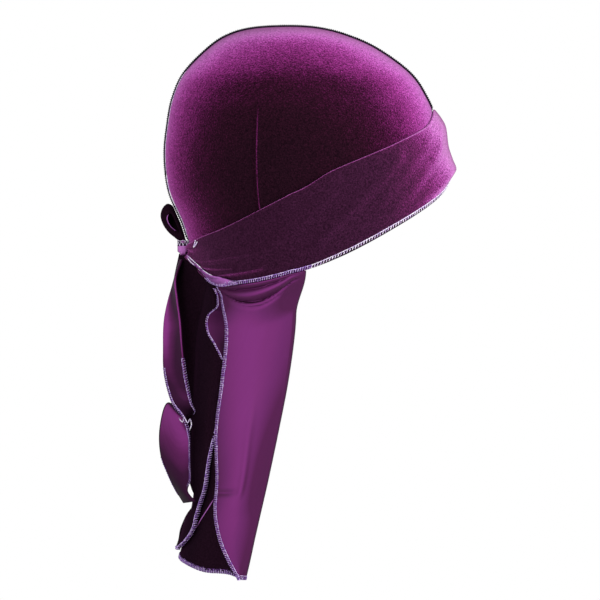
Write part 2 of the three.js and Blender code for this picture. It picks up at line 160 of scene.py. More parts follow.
velvetLook = {
    # painted sheen: how far the pile is seen from its side (0 square on, 1 edge on) and the colour that
    # paints its sheen there
    "paintedSheen": [
        (0.0, "#190911"),
        (0.1, "#210915"),
        (0.2, "#380b2a"),
        (0.35, "#6d205e"),
        (0.5, "#88347d"),
        (0.66, "#a656a1"),
        (0.8, "#995f97"),
        (1.0, "#683e62"),
    ],
    "sheenTint": "#ff9aef",
    "sheenWeight": 0.12,
    "sheenRoughness": 0.5,
    "roughness": 0.9,
    "pileGrain": 1.1,  # mm, tufts drawn coarser than the real 0.2 mm so that they show
    "speckle": 0.6,  # how much lighter and darker single tufts are
    "patch": 14,  # mm, patches where the pile lies another way
    "patchShift": 0.1,
    # painted light: the velvet glows more toward the front and the top, where the light falls, and least low
    # at the back
    "paintedLightLean": (0.12, 0.0, 0.07),
    "paintedLightLeanTurned": (-0.17, 0.0, -0.19),
    "pileDepth": 0.8,
    "pileHeight": 0.3,  # mm
    "fleck": 0.27,  # how much single tufts stand out
}

# where the cloth hangs, the pile lies downward and swallows the light, and these parts lie in shade: a darker
# copy of the velvet, partly painted shade
hangingShadedVelvetLook = {
    **velvetLook,
    "speckle": 0.35,
    "paintedSheen": [
        (0.0, "#1a0b16"),
        (0.2, "#190b15"),
        (0.4, "#150a13"),
        (0.7, "#180b15"),
        (0.85, "#231020"),
        (1.0, "#301a2d"),
    ],
    "sheenWeight": 0.02,
    "paintedLightLean": (0.05, 0.0, 0.05),
    "paintedLightLeanTurned": (0.0, 0.0, 0.0),
    "fleck": 0.08,
}

# on the wrap the pile is crushed by the folds, so it is mottled and never quite black; its painted sheen and
# its painted light from the front are set for the wrap
wrapVelvetLook = {
    **velvetLook,
    "paintedSheen": [
        (0.0, "#2b1124"),
        (0.15, "#301329"),
        (0.3, "#401736"),
        (0.43, "#581c4a"),
        (0.55, "#7e2c73"),
        (0.7, "#ac62a8"),
        (0.85, "#a470a0"),
        (1.0, "#6f4669"),
    ],
    "patch": 7,
    "paintedLightLean": (0.24, 0.0, 0.1),
    "paintedLightLeanTurned": (-0.2, 0.0, 0.0),
}


def velvetMaterial(name, look):
    # Stretch velvet: knitted, with a short cut pile. It is nearly black where it is looked at square on and
    # glows where the pile is seen from the side; that glow is painted sheen in its base colour, over a little
    # real sheen.
    material, tree, shader = newMaterial(name)
    seen = addNode(tree, "ShaderNodeTexCoord").outputs
    place, way = seen["Object"], seen["Normal"]
    patchScale, grainScale = 1 / (look["patch"] * mm), 1 / (look["pileGrain"] * mm)
    patched = {"Vector": place, "Scale": patchScale, "Detail": 3, "Roughness": 0.6}
    patches = addNode(tree, "ShaderNodeTexNoise", patched)
    grained = {"Vector": place, "Scale": grainScale, "Detail": 2, "Roughness": 0.7}
    grain = addNode(tree, "ShaderNodeTexNoise", grained)
    raised = {"Height": grain, "Strength": look["pileDepth"], "Distance": look["pileHeight"] * mm}
    bump = addNode(tree, "ShaderNodeBump", raised)
    # painted sheen: the colour is picked by how far the surface is seen from its side
    paintedSheen = addNode(tree, "ShaderNodeLayerWeight", {"Normal": bump, "Blend": 0.5}).outputs["Facing"]
    forward = addNode(tree, "ShaderNodeSeparateXYZ", {"Vector": way}).outputs["X"]
    turned = addNode(tree, "ShaderNodeVectorMath", {0: way, "Scale": forward}, operation="SCALE")
    # painted light: the glow is raised where the surface faces the front and the top
    for normal, paintedLightLean in ((way, look["paintedLightLean"]), (turned, look["paintedLightLeanTurned"])):
        paintedLightShift = addNode(tree, "ShaderNodeVectorMath", {0: normal, 1: paintedLightLean}, operation="DOT_PRODUCT")
        paintedSheen = addNode(tree, "ShaderNodeMath", {0: paintedSheen, 1: paintedLightShift.outputs["Value"]}, operation="ADD")
    for noise, amount in ((patches, look["patchShift"]), (grain, look["fleck"])):
        # a noise is about half on the whole, so half of its amount comes off again
        centred = addNode(tree, "ShaderNodeMath", {0: noise, 1: 0.5}, operation="SUBTRACT")
        paintedSheen = addNode(tree, "ShaderNodeMath", {0: centred, 1: amount, 2: paintedSheen}, operation="MULTIPLY_ADD")
    low, high = 1 - look["speckle"], 1 + look["speckle"]
    tufts = addNode(tree, "ShaderNodeMapRange", {"Value": grain, **mostNoise, "To Min": low, "To Max": high})
    colour = addNode(tree, "ShaderNodeValToRGB", {"Fac": paintedSheen}, look["paintedSheen"])
    speckled = addNode(tree, "ShaderNodeVectorMath", {0: colour, "Scale": tufts}, operation="SCALE")
    setInputs(tree, shader, {"Base Color": speckled, "Normal": bump, "Roughness": look["roughness"]})
    setInputs(tree, shader, {"Sheen Weight": look["sheenWeight"], "Sheen Roughness": look["sheenRoughness"]})
    setInputs(tree, shader, {"Sheen Tint": linear(look["sheenTint"]), "Specular IOR Level": 0.0})
    return material


satinLook = {
    # painted light and shade: how far the cloth turns from the way the light falls on it (0 along it, 1
    # across) and the colour that gives it
    "turn": [(0.0, "#7b3077"), (0.03, "#712b6b"), (0.07, "#642660"), (0.16, "#4b1b44"), (1.0, "#290d25")],
    # the way the painted light comes from, in the object's own axes
    "paintedLightWay": (-0.36, -0.93, 0.0),
    "cloud": 30,  # mm, soft patches
    "cloudShift": 0.012,
    "streak": 2.4,  # mm, faint lines along the knit
    "streakShift": 0.012,
    "streakStretch": 0.03,  # how much longer than wide they are, as one to this
    "roughness": 0.42,
    "specular": 0.12,
    "shine": "#e0b4e0",
    "wale": 0.9,  # mm, knit wales drawn twice as wide as real so that they show
    "waleDepth": 0.1,
    "waleHeight": 0.1,  # mm
    "shade": (-0.33, -0.39),  # painted shade: from this height (m) to that one it darkens
    "shadeBy": (0.0, 0.05),  # by so much at the first height and at the second
}
# the ties hang askew, so the painted light on their satin falls off more slowly as it turns away; painted
# light lightens the lobe's top and painted shade darkens it toward its tip
tieSatinLook = {
    **satinLook,
    "turn": [(0.0, "#86367f"), (0.16, "#7b3075"), (0.3, "#571f50"), (0.45, "#33122f"), (1.0, "#1c0b1a")],
    "paintedLightWay": (-0.3, -0.95, 0.0),
    "cloudShift": 0.08,
    "streakShift": 0.04,
    "specular": 0.06,
    "roughness": 0.55,
    "shade": (-0.262, -0.325),
    "shadeBy": (-0.12, 0.5),
}
# painted shade: before it turns over, the twisted tie darkens down toward its own fold, where it lies in
# shade
tieShadedToFoldLook = {**tieSatinLook, "shade": (-0.208, -0.25), "shadeBy": (0.0, 0.33)}
# the curled edge of the cape lies in the shade of the flap
shadedSatinLook = {
    **tieSatinLook,
    "turn": [(0.0, "#642a5e"), (0.3, "#451a40"), (0.6, "#2a1027"), (1.0, "#1a0a18")],
    "shade": (-0.195, -0.235),
    "shadeBy": (0.0, 0.3),
}
# the rolled hem shows the satin stretched and pale
hemSatinLook = {
    **satinLook,
    "turn": [(0.0, "#b46cba"), (0.3, "#9a58a2"), (0.6, "#6c3a74"), (1.0, "#341a38")],
    "cloud": 3,
    "cloudShift": 0.3,
}
# the knot is the same satin drawn tight, so it shines: its lighter colours are painted shine, over a stronger
# real gloss
knotSatinLook = {
    **satinLook,
    "turn": [(0.0, "#b069b4"), (0.3, "#a05aa2"), (0.6, "#7c3f7c"), (1.0, "#3c1a3a")],
    "specular": 0.4,
    "cloud": 4,
    "cloudShift": 0.15,
}


def satinMaterial(name, look):
    # The reverse of the velvet: a smooth, tight warp knit with a dull satin gloss, its colour painted lighter
    # or darker by how it turns to the light.
    material, tree, shader = newMaterial(name)
    seen = addNode(tree, "ShaderNodeTexCoord").outputs
    place, way = seen["Object"], seen["Normal"]
    uv = addNode(tree, "ShaderNodeUVMap", uv_map="cloth")
    waleScale = 1 / (look["wale"] * mm) / 20  # a wave texture has 20 bands in one unit at scale 1
    knitted = {"Vector": uv, "Scale": waleScale, "Distortion": 1.0, "Detail": 2}
    wales = addNode(tree, "ShaderNodeTexWave", knitted, bands_direction="X").outputs["Fac"]
    raised = {"Height": wales, "Strength": look["waleDepth"], "Distance": look["waleHeight"] * mm}
    bump = addNode(tree, "ShaderNodeBump", raised)
    # painted light and shade: the colour darkens as the cloth turns away from the way the light comes from
    toward = addNode(tree, "ShaderNodeVectorMath", {0: way, 1: look["paintedLightWay"]}, operation="DOT_PRODUCT")
    either = addNode(tree, "ShaderNodeMath", {0: toward.outputs["Value"]}, operation="ABSOLUTE")
    turn = addNode(tree, "ShaderNodeMath", {0: 1.0, 1: either}, operation="SUBTRACT")
    cloudScale, streakScale = 1 / (look["cloud"] * mm), 1 / (look["streak"] * mm)
    clouds = addNode(tree, "ShaderNodeTexNoise", {"Vector": place, "Scale": cloudScale, "Detail": 3})
    drawnOut = addNode(tree, "ShaderNodeMapping", {"Vector": uv, "Scale": (1, look["streakStretch"], 1)})
    streaks = addNode(tree, "ShaderNodeTexNoise", {"Vector": drawnOut, "Scale": streakScale, "Detail": 2})
    for noise, amount in ((clouds, look["cloudShift"]), (streaks, look["streakShift"])):
        turn = addNode(tree, "ShaderNodeMath", {0: noise, 1: amount, 2: turn}, operation="MULTIPLY_ADD")
    # painted shade by height: darker lower down, and on the ties lighter at the top
    (high, low), (least, most) = look["shade"], look["shadeBy"]
    level = addNode(tree, "ShaderNodeSeparateXYZ", {"Vector": place}).outputs["Z"]
    fading = {"Value": level, "From Min": high, "From Max": low, "To Min": least, "To Max": most}
    shade = addNode(tree, "ShaderNodeMapRange", fading)
    turn = addNode(tree, "ShaderNodeMath", {0: turn, 1: shade}, operation="ADD")
    colour = addNode(tree, "ShaderNodeValToRGB", {"Fac": turn}, look["turn"])
    setInputs(tree, shader, {"Base Color": colour, "Normal": bump, "Roughness": look["roughness"]})
    setInputs(tree, shader, {"Specular IOR Level": look["specular"], "Specular Tint": linear(look["shine"])})
    return material


threadLook = {
    "pale": "#dfc8f5",
    "dark": "#8d60bb",
    "fleck": 1.1,  # mm
    "fuzz": 0.3,
    "fuzzTint": "#d9bdf2",
    "fuzzRoughness": 0.4,
    "roughness": 0.6,
    "specular": 0.08,
}
# painted shade: a darker copy of the yarn, for the second yarn of each pair where it winds round the far side
shadedThreadLook = {**threadLook, "pale": "#6a3c84", "dark": "#1f0c2c", "fleck": 0.9, "fuzz": 0.1}
whiteThreadLook = {**threadLook, "pale": "#f4edf9", "dark": "#b79fcf", "fuzz": 0.1}
seamThreadLook = {**threadLook, "pale": "#302036", "dark": "#0b050d", "fleck": 1.2, "fuzz": 0.0}


def threadMaterial(name, look):
    # Overlock yarn: fuzzy bulked polyester, with darker shadowed strands.
    material, tree, shader = newMaterial(name)
    place = addNode(tree, "ShaderNodeTexCoord").outputs["Object"]
    fleckScale = 1 / (look["fleck"] * mm)
    fleck = addNode(tree, "ShaderNodeTexNoise", {"Vector": place, "Scale": fleckScale, "Detail": 1})
    spread = addNode(tree, "ShaderNodeMapRange", {"Value": fleck, "From Min": 0.4, "From Max": 0.6})
    strands = [(0.0, look["dark"]), (1.0, look["pale"])]
    colour = addNode(tree, "ShaderNodeValToRGB", {"Fac": spread}, strands)
    setInputs(tree, shader, {"Base Color": colour, "Roughness": look["roughness"]})
    setInputs(tree, shader, {"Specular IOR Level": look["specular"], "Sheen Weight": look["fuzz"]})
    setInputs(tree, shader, {"Sheen Roughness": look["fuzzRoughness"]})
    setInputs(tree, shader, {"Sheen Tint": linear(look["fuzzTint"])})
    return material


velvet = velvetMaterial("plumStretchVelvet", velvetLook)
wrapVelvet = velvetMaterial("plumVelvetCrushed", wrapVelvetLook)
hangingShadedVelvet = velvetMaterial("plumVelvetHangingShaded", hangingShadedVelvetLook)
satin = satinMaterial("plumSatinKnitReverse", satinLook)
tieSatin = satinMaterial("plumSatinKnitOfTies", tieSatinLook)
tieSatinShadedToFold = satinMaterial("plumSatinKnitShadedToFold", tieShadedToFoldLook)
shadedSatin = satinMaterial("plumSatinInShade", shadedSatinLook)
# this satin also paints the highlights along the bow loop's turned edge and the cape's fold
hemSatinAndHighlight = satinMaterial("lilacSatinHemAndHighlight", hemSatinLook)
knotSatin = satinMaterial("plumSatinDrawnTightPaintedShine", knotSatinLook)
paleThread = threadMaterial("lavenderOverlockYarn", threadLook)
whiteThread = threadMaterial("whiteNeedleThread", whiteThreadLook)
shadedThread = threadMaterial("violetOverlockYarnInShade", shadedThreadLook)
darkThread = threadMaterial("darkPlumOverlockYarn", seamThreadLook)
print("stage: finishes made")

# Reading tables and the head's form


def readTable(rows, key):
    # A smooth curve through the rows; the first column is the key
    rows = np.array(rows, float)
    key = np.asarray(key, float)
    last = len(rows) - 1
    at = np.searchsorted(rows[1:-1, 0], key, side="left")
    before = rows[np.maximum(at - 1, 0)]
    start = rows[at]
    end = rows[at + 1]
    after = rows[np.minimum(at + 2, last)]
    step = (end[..., 0] - start[..., 0])[..., None]
    share = np.clip((key[..., None] - start[..., :1]) / step, 0, 1)
    slopeStart = (end - before) / (end[..., :1] - before[..., :1])
    slopeEnd = (after - start) / (after[..., :1] - start[..., :1])
    square = share**2
    cube = share**3
    return (
        start * (2 * cube - 3 * square + 1)
        + slopeStart * step * (cube - 2 * square + share)
        + end * (3 * square - 2 * cube)
        + slopeEnd * step * (cube - square)
    )


def smoothStep(value, low, high):
    share = np.clip((value - low) / (high - low), 0, 1)
    return share * share * (3 - 2 * share)


def mix(a, b, share):
    return a + (b - a) * share


def unit(vectors):
    return vectors / np.maximum(np.linalg.norm(vectors, axis=-1, keepdims=True), 1e-12)


def bell(value, width):
    return np.exp(-((value / width) ** 2))


head = {"height": 88, "front": 107.6, "back": 83.8, "halfWidth": 77.4, "browFullness": 0.13}

# climb, height, front, back, side as shares of the head's sizes
headSections = [
    [0.0, -1.12, 0.96, 0.6, 0.84],
    [0.1, -0.8, 1.0, 0.78, 0.93],
    [0.2, -0.54, 1.0, 0.87, 0.98],
    [0.3, -0.28, 1.0, 0.985, 1.0],
    [0.4, 0.0, 0.987, 1.02, 1.0],
    [0.5, 0.255, 0.936, 0.995, 0.97],
    [0.6, 0.446, 0.872, 0.955, 0.91],
    [0.7, 0.636, 0.765, 0.865, 0.815],
    [0.8, 0.827, 0.551, 0.672, 0.64],
    [0.88, 0.93, 0.36, 0.51, 0.48],
    [0.95, 0.985, 0.18, 0.3, 0.26],
    [1.0, 1.0, 0.0, 0.0, 0.0],
]
topRow, belowTop = headSections[-1], headSections[-2]
mirroredRow = [2 * topRow[0] - belowTop[0], belowTop[1], *[-share for share in belowTop[2:]]]
headRows = headSections + [mirroredRow]

# turn (0 front, 1 back), lower and upper edge of the forehead wrap as shares of the height
wrapEdges = [
    [0.0, -0.207, 0.35],
    [0.14, -0.368, 0.207],
    [0.25, -0.535, 0.09],
    [0.41, -0.815, -0.13],
    [0.48, -0.915, -0.286],
    [0.6, -0.985, -0.46],
    [0.72, -1.012, -0.585],
    [0.84, -1.015, -0.655],
    [0.9, -0.975, -0.684],
    [0.95, -0.89, -0.692],
    [1.0, -0.8, -0.7],
]
wrapRows = [[-wrapEdges[1][0], *wrapEdges[1][1:]], *wrapEdges]

climbSteps = np.linspace(0, 1, 4001)
climbHeights = readTable(headRows, climbSteps)[:, 1]


def climbAt(height):
    return np.interp(height, climbHeights, climbSteps)


def headPoint(turn, climb):
    turn, climb = np.broadcast_arrays(np.asarray(turn, float), np.asarray(climb, float))
    row = readTable(headRows, climb)
    angle = np.pi * turn
    forward = np.cos(angle)
    reach = np.where(forward > 0, row[..., 2] * head["front"], row[..., 3] * head["back"])
    fullness = 1 + head["browFullness"] * np.maximum(forward, 0) ** 2
    return np.stack(
        [
            reach * forward,
            row[..., 4] * head["halfWidth"] * fullness * np.sin(angle),
            (row[..., 1] - 1) * head["height"],
        ],
        axis=-1,
    )


def headNormal(turn, climb):
    step = 0.002
    turn, climb = np.broadcast_arrays(np.asarray(turn, float), np.asarray(climb, float))
    safe = np.minimum(climb, 1 - step)
    along = headPoint(turn + step, safe) - headPoint(turn - step, safe)
    up = headPoint(turn, safe + step) - headPoint(turn, safe - step)
    normal = unit(np.cross(along, up))
    return np.where((climb > 1 - step)[..., None], np.array([0.0, 0, 1]), normal)


def headLift(turn, climb, lift):
    return headPoint(turn, climb) + headNormal(turn, climb) * np.asarray(lift)[..., None]


def wrapEdge(turn, column):
    return readTable(wrapRows, np.abs(turn))[..., column]


rimCover = 3.2


def rimHeight(turn):
    return wrapEdge(turn, 1) + rimCover / head["height"]


def lowestCorner(turn, height, lift):
    slope = headNormal(turn, climbAt(height))[..., 2]
    return (height - 1) * head["height"] + np.minimum(0, slope) * lift


# Cloth meshes


def gridNormals(middle):
    along = np.empty_like(middle)
    along[1:-1] = middle[2:] - middle[:-2]
    along[0] = middle[1] - middle[0]
    along[-1] = middle[-1] - middle[-2]
    down = np.empty_like(middle)
    down[:, 1:-1] = middle[:, 2:] - middle[:, :-2]
    down[:, 0] = middle[:, 1] - middle[:, 0]
    down[:, -1] = middle[:, -1] - middle[:, -2]
    return unit(np.cross(along, down))


mergeDistance = 1e-7


def finishMesh(mesh, obj):
    work = bmesh.new()
    work.from_mesh(mesh)
    bmesh.ops.remove_doubles(work, verts=work.verts, dist=mergeDistance)
    bmesh.ops.dissolve_degenerate(work, dist=mergeDistance / 10, edges=work.edges)
    bmesh.ops.recalc_face_normals(work, faces=work.faces)
    work.to_mesh(mesh)
    work.free()
    mesh.shade_smooth()
    return obj


def clothWall(name, outer, inner, faceFinish, reverseFinish, rimFinish=None):
    # A closed wall between two grids of points, with its own uv in metres of cloth
    columns, rows = outer.shape[:2]
    corners = np.concatenate([outer.reshape(-1, 3), inner.reshape(-1, 3)]) * mm
    half = columns * rows
    i, j = np.meshgrid(np.arange(columns - 1), np.arange(rows - 1), indexing="ij")
    a = (i * rows + j).ravel()
    front = np.stack([a, a + rows, a + rows + 1, a + 1], axis=1)
    back = front[:, ::-1] + half
    iEdge = np.arange(columns - 1) * rows
    jEdge = np.arange(rows - 1)
    lastColumn = (columns - 1) * rows
    border = [iEdge, lastColumn + jEdge, lastColumn + rows - 1 - iEdge, rows - 1 - jEdge]
    border = np.concatenate(border)
    following = np.roll(border, -1)
    rim = np.stack([border, border + half, following + half, following], axis=1)
    faces = np.concatenate([front, back, rim])
    finish = np.concatenate(
        [np.zeros(len(front), int), np.ones(len(back), int), np.full(len(faces) - 2 * len(front), 2)]
    )
    mesh = bpy.data.meshes.new(name)
    mesh.from_pydata(corners.tolist(), [], faces.tolist())
    for material in (faceFinish, reverseFinish, rimFinish or faceFinish):
        mesh.materials.append(material)
    mesh.polygons.foreach_set("material_index", finish.astype(np.int32))
    across = np.zeros((columns, rows))
    across[1:] = np.cumsum(np.linalg.norm(np.diff(outer, axis=0), axis=-1), axis=0)
    down = np.zeros((columns, rows))
    down[:, 1:] = np.cumsum(np.linalg.norm(np.diff(outer, axis=1), axis=-1), axis=1)
    spot = np.stack([across, down], axis=-1).reshape(-1, 2) * mm
    spot = np.concatenate([spot, spot])
    layer = mesh.uv_layers.new(name="cloth")
    layer.data.foreach_set("uv", spot[faces.ravel()].astype(np.float32).ravel())
    return finishMesh(mesh, newPiece(name, mesh))


def clothSheet(name, middle, thickness, faceFinish, reverseFinish, rimFinish=None):
    normals = gridNormals(middle) * thickness / 2
    return clothWall(name, middle + normals, middle - normals, faceFinish, reverseFinish, rimFinish)


def restOn(cloth, places, off, among=14):
    # puts places (x, z) on the near side of a grid of points, a little off it
    near = cloth.reshape(-1, 3)
    near = near[near[:, 1] < 0]
    points = []
    for x, z in places:
        away = np.hypot(near[:, 0] - x, near[:, 2] - z)
        closest = np.argsort(away)[:among]
        foremost = closest[np.argsort(near[closest, 1])[:4]]
        points.append([x, near[foremost, 1].mean() - off, z])
    return np.array(points)


def meshGrid(columns, rows):
    return np.meshgrid(columns, rows, indexing="ij")


def shareGrid(columns, rows):
    return meshGrid(np.linspace(0, 1, columns), np.linspace(0, 1, rows))


clearance = 0.4

# Overlocked edges

overlock = {
    "pitch": 1.7,  # from one stitch to the next
    "bite": 2.2,  # how far the yarn reaches in from the edge
    "yarn": 0.22,  # radius
    "stand": 0.25,  # how far the yarn stands off the cloth
    "turnPoints": 10,
    "sides": 5,
    "swell": (900, 0.75, 1.3),  # the yarn's thickness: how often it changes in a metre, least, most
    "sway": (420, 0.34, 0.66),  # the same for half of its swing, as a share of the bite
    "overhang": 0.92,  # below 1 the yarn swings a little past the edge
    "flatness": 1.7,  # how squarely it turns over the edge
}


def overlockTree():
    tree = bpy.data.node_groups.new("overlockedEdge", "GeometryNodeTree")
    sockets = tree.interface
    sockets.new_socket("Geometry", in_out="INPUT", socket_type="NodeSocketGeometry")
    for name in ("Pitch", "Bite", "Half wall", "Yarn"):
        sockets.new_socket(name, in_out="INPUT", socket_type="NodeSocketFloat")
    for name in ("Upper yarn", "Lower yarn"):
        sockets.new_socket(name, in_out="INPUT", socket_type="NodeSocketMaterial")
    sockets.new_socket("Geometry", in_out="OUTPUT", socket_type="NodeSocketGeometry")
    given = addNode(tree, "NodeGroupInput").outputs
    made = addNode(tree, "NodeGroupOutput")

    def uneven(scale, low, high):
        noise = addNode(tree, "ShaderNodeTexNoise", {"Scale": scale, "Detail": 1})
        spread = {"Value": noise, **mostNoise, "To Min": low, "To Max": high}
        return addNode(tree, "ShaderNodeMapRange", spread)

    def tube(curve, offset, finish):
        moved = addNode(tree, "GeometryNodeSetPosition", {"Geometry": curve, "Offset": offset})
        round_ = {"Radius": given["Yarn"], "Resolution": overlock["sides"]}
        profile = addNode(tree, "GeometryNodeCurvePrimitiveCircle", round_)
        swell = uneven(*overlock["swell"])
        swollen = addNode(tree, "GeometryNodeSetCurveRadius", {"Curve": moved, "Radius": swell})
        skin = {"Curve": swollen, "Profile Curve": profile, "Scale": swell, "Fill Caps": True}
        yarn = addNode(tree, "GeometryNodeCurveToMesh", skin)
        return addNode(tree, "GeometryNodeSetMaterial", {"Geometry": yarn, "Material": finish})

    edge = addNode(tree, "GeometryNodeMeshToCurve", {"Mesh": given["Geometry"]})
    turnPoints = overlock["turnPoints"]
    spacing = addNode(tree, "ShaderNodeMath", {0: given["Pitch"], 1: turnPoints}, operation="DIVIDE")
    stepped = addNode(tree, "GeometryNodeResampleCurve", {"Curve": edge, "Length": spacing}, mode="LENGTH")
    named = [
        addNode(tree, "GeometryNodeInputNamedAttribute", {"Name": name}, data_type="FLOAT_VECTOR")
        for name in ("inward", "upward")
    ]
    inward, upward = (node.outputs["Attribute"] for node in named)
    sway = uneven(*overlock["sway"])
    bite = addNode(tree, "ShaderNodeMath", {0: given["Bite"], 1: sway}, operation="MULTIPLY")
    index = addNode(tree, "GeometryNodeInputIndex")
    parts = []
    for way, finish in ((1, given["Upper yarn"]), (-1, given["Lower yarn"])):
        step = way * 2 * math.pi / turnPoints
        turn = addNode(tree, "ShaderNodeMath", {0: index, 1: step}, operation="MULTIPLY")
        cosine = addNode(tree, "ShaderNodeMath", {0: turn}, operation="COSINE")
        reach = addNode(tree, "ShaderNodeMath", {0: overlock["overhang"], 1: cosine}, operation="SUBTRACT")
        into = addNode(tree, "ShaderNodeMath", {0: bite, 1: reach}, operation="MULTIPLY")
        sine = addNode(tree, "ShaderNodeMath", {0: turn}, operation="SINE")
        steep = addNode(tree, "ShaderNodeMath", {0: sine, 1: overlock["flatness"]}, operation="MULTIPLY")
        flat = addNode(tree, "ShaderNodeClamp", {"Value": steep, "Min": -1, "Max": 1})
        over = addNode(tree, "ShaderNodeMath", {0: given["Half wall"], 1: flat}, operation="MULTIPLY")
        face = addNode(tree, "ShaderNodeMath", {0: given["Half wall"], 1: way}, operation="MULTIPLY")
        # one yarn winds round the edge, and one lies straight where the first turns back
        for inwards, upwards in ((into, over), (given["Bite"], face)):
            in_ = addNode(tree, "ShaderNodeVectorMath", {0: inward, "Scale": inwards}, operation="SCALE")
            up = addNode(tree, "ShaderNodeVectorMath", {0: upward, "Scale": upwards}, operation="SCALE")
            parts.append(tube(stepped, addNode(tree, "ShaderNodeVectorMath", {0: in_, 1: up}), finish))
    joined = addNode(tree, "GeometryNodeJoinGeometry")
    for part in parts:
        setInputs(tree, joined, {0: part})
    setInputs(tree, made, {0: addNode(tree, "GeometryNodeRealizeInstances", {"Geometry": joined})})
    return tree


overlockNodes = overlockTree()
yarnPair = (paleThread, shadedThread)
contrastPair = (whiteThread, darkThread)


def overlockEdge(name, path, inward, upward, wall, finishes, **changes):
    # Two yarns wound over the edge of a cloth of a given thickness, along a row of points
    size = {**overlock, **changes}
    mesh = bpy.data.meshes.new(name)
    mesh.from_pydata((path * mm).tolist(), [(at, at + 1) for at in range(len(path) - 1)], [])
    for label, vectors in (("inward", unit(inward)), ("upward", unit(upward))):
        layer = mesh.attributes.new(label, "FLOAT_VECTOR", "POINT")
        layer.data.foreach_set("vector", vectors.astype(np.float32).ravel())
    obj = newPiece(name, mesh)
    modifier = obj.modifiers.new("overlock", "NODES")
    modifier.node_group = overlockNodes
    values = {
        "Pitch": size["pitch"] * mm,
        "Bite": size["bite"] * mm,
        "Half wall": (wall / 2 + size["stand"]) * mm,
        "Yarn": size["yarn"] * mm,
        "Upper yarn": finishes[0],
        "Lower yarn": finishes[1],
    }
    for item in overlockNodes.interface.items_tree:
        if item.in_out == "INPUT" and item.name in values:
            modifier[item.identifier] = values[item.name]
    bpy.context.view_layer.update()
    graph = bpy.context.evaluated_depsgraph_get()
    made = bpy.data.meshes.new_from_object(obj.evaluated_get(graph))
    obj.modifiers.remove(modifier)
    obj.data = made
    made.name = name
    made.shade_smooth()
    return obj


strandShape = {"steps": 12, "sides": 6, "taper": 12, "tip": 0.12}  # steps for each point given


def strand(name, points, radius, finish):
    # One yarn, a thin rolled fold, or a pale line that paints a highlight, through a few points, thin at both
    # ends
    points = np.array(points, float)
    count = strandShape["steps"] * len(points)
    sides = strandShape["sides"]
    places = np.concatenate([[0], np.cumsum(np.linalg.norm(np.diff(points, axis=0), axis=1))])
    rows = np.concatenate([(places / places[-1])[:, None], points], axis=1)
    along = np.linspace(0, 1, count)
    middle = readTable(rows, along)[:, 1:]
    forward = unit(np.gradient(middle, axis=0))
    aside = unit(np.cross(forward, np.array([0.3, 0.2, 0.93])))
    upward = np.cross(forward, aside)
    thin = np.clip(np.minimum(along, 1 - along) * strandShape["taper"], strandShape["tip"], 1)
    around = np.linspace(0, 2 * np.pi, sides, endpoint=False)
    rings = [middle + (radius * thin)[:, None] * (np.cos(a) * aside + np.sin(a) * upward) for a in around]
    corners = np.array(rings).transpose(1, 0, 2).reshape(-1, 3) * mm
    faces = [
        (s * sides + k, s * sides + (k + 1) % sides, (s + 1) * sides + (k + 1) % sides, (s + 1) * sides + k)
        for s in range(count - 1)
        for k in range(sides)
    ]
    faces += [tuple(range(sides)), tuple(reversed(range((count - 1) * sides, count * sides)))]
    mesh = bpy.data.meshes.new(name)
    mesh.from_pydata(corners.tolist(), [], faces)
    mesh.materials.append(finish)
    return finishMesh(mesh, newPiece(name, mesh))


def partOf(edge, first, last):
    # the stretch of an edge between two shares of its points
    count = len(edge[0])
    return [part[round(first * (count - 1)) : round(last * (count - 1)) + 1] for part in edge]


def edgeOf(middle, which):
    # points along one edge of a grid, the way into the cloth, and the cloth's normal there
    normals = gridNormals(middle)
    if which == "firstColumn":
        return middle[0], middle[1] - middle[0], normals[0]
    if which == "lastColumn":
        return middle[-1], middle[-2] - middle[-1], normals[-1]
    if which == "firstRow":
        return middle[:, 0], middle[:, 1] - middle[:, 0], normals[:, 0]
    return middle[:, -1], middle[:, -2] - middle[:, -1], normals[:, -1]


def joinEdges(*runs):
    # runs are (edge, backwards) one after another
    parts = [[part[::-1] if backwards else part for part in edge] for edge, backwards in runs]
    return [np.concatenate([part[at] for part in parts]) for at in range(3)]


# Crown

crown = {
    "wall": 1.6,
    "columns": 150,
    "rows": 90,
    "pleatTurn": 0.583,
    "pleatTop": 0.44,
    "pleatFade": 0.25,
    "pleatRise": 0.6,
    "pleatWidth": 5,
    "pleatHollow": 0.9,  # the dip on its back side
    "pleatColumns": 49,
    # in pleat widths: how far its columns reach, its front and back slopes, the dip's place and width
    "pleatReach": 3,
    "pleatSlopes": (0.55, 0.22),
    "hollowAt": 0.75,
    "hollowWidth": 0.5,
}


def crownPanel(name, side, hasPleat):
    share = crown["pleatWidth"] / (2 * np.pi * head["halfWidth"])
    turns = np.linspace(0, 1, crown["columns"])
    if hasPleat:
        reach = crown["pleatReach"]
        near = crown["pleatTurn"] + share * np.linspace(-reach, reach, crown["pleatColumns"])
        clear = turns[np.abs(turns - crown["pleatTurn"]) > reach * share]
        turns = np.sort(np.concatenate([clear, near]))
    turn, rise = meshGrid(turns, np.linspace(0, 1, crown["rows"]))
    climb = mix(climbAt(rimHeight(turn)), 1, rise)
    height = readTable(headRows, climb)[..., 1]
    lift = np.full(turn.shape, float(crown["wall"]))
    if hasPleat:
        offset = (turn - crown["pleatTurn"]) / share
        faded = 1 - smoothStep(height, crown["pleatTop"] - crown["pleatFade"], crown["pleatTop"])
        ridge = bell(offset, np.where(offset < 0, *crown["pleatSlopes"]))
        hollow = bell(offset - crown["hollowAt"], crown["hollowWidth"])
        lift += faded * (crown["pleatRise"] * ridge - crown["pleatHollow"] * hollow)
    shift = np.array([0, side * clearance / 2, 0])
    outer = headLift(side * turn, climb, lift) + shift
    inner = headLift(side * turn, climb, np.minimum(lift - crown["wall"], 0)) + shift
    return clothWall(name, outer, inner, velvet, satin)


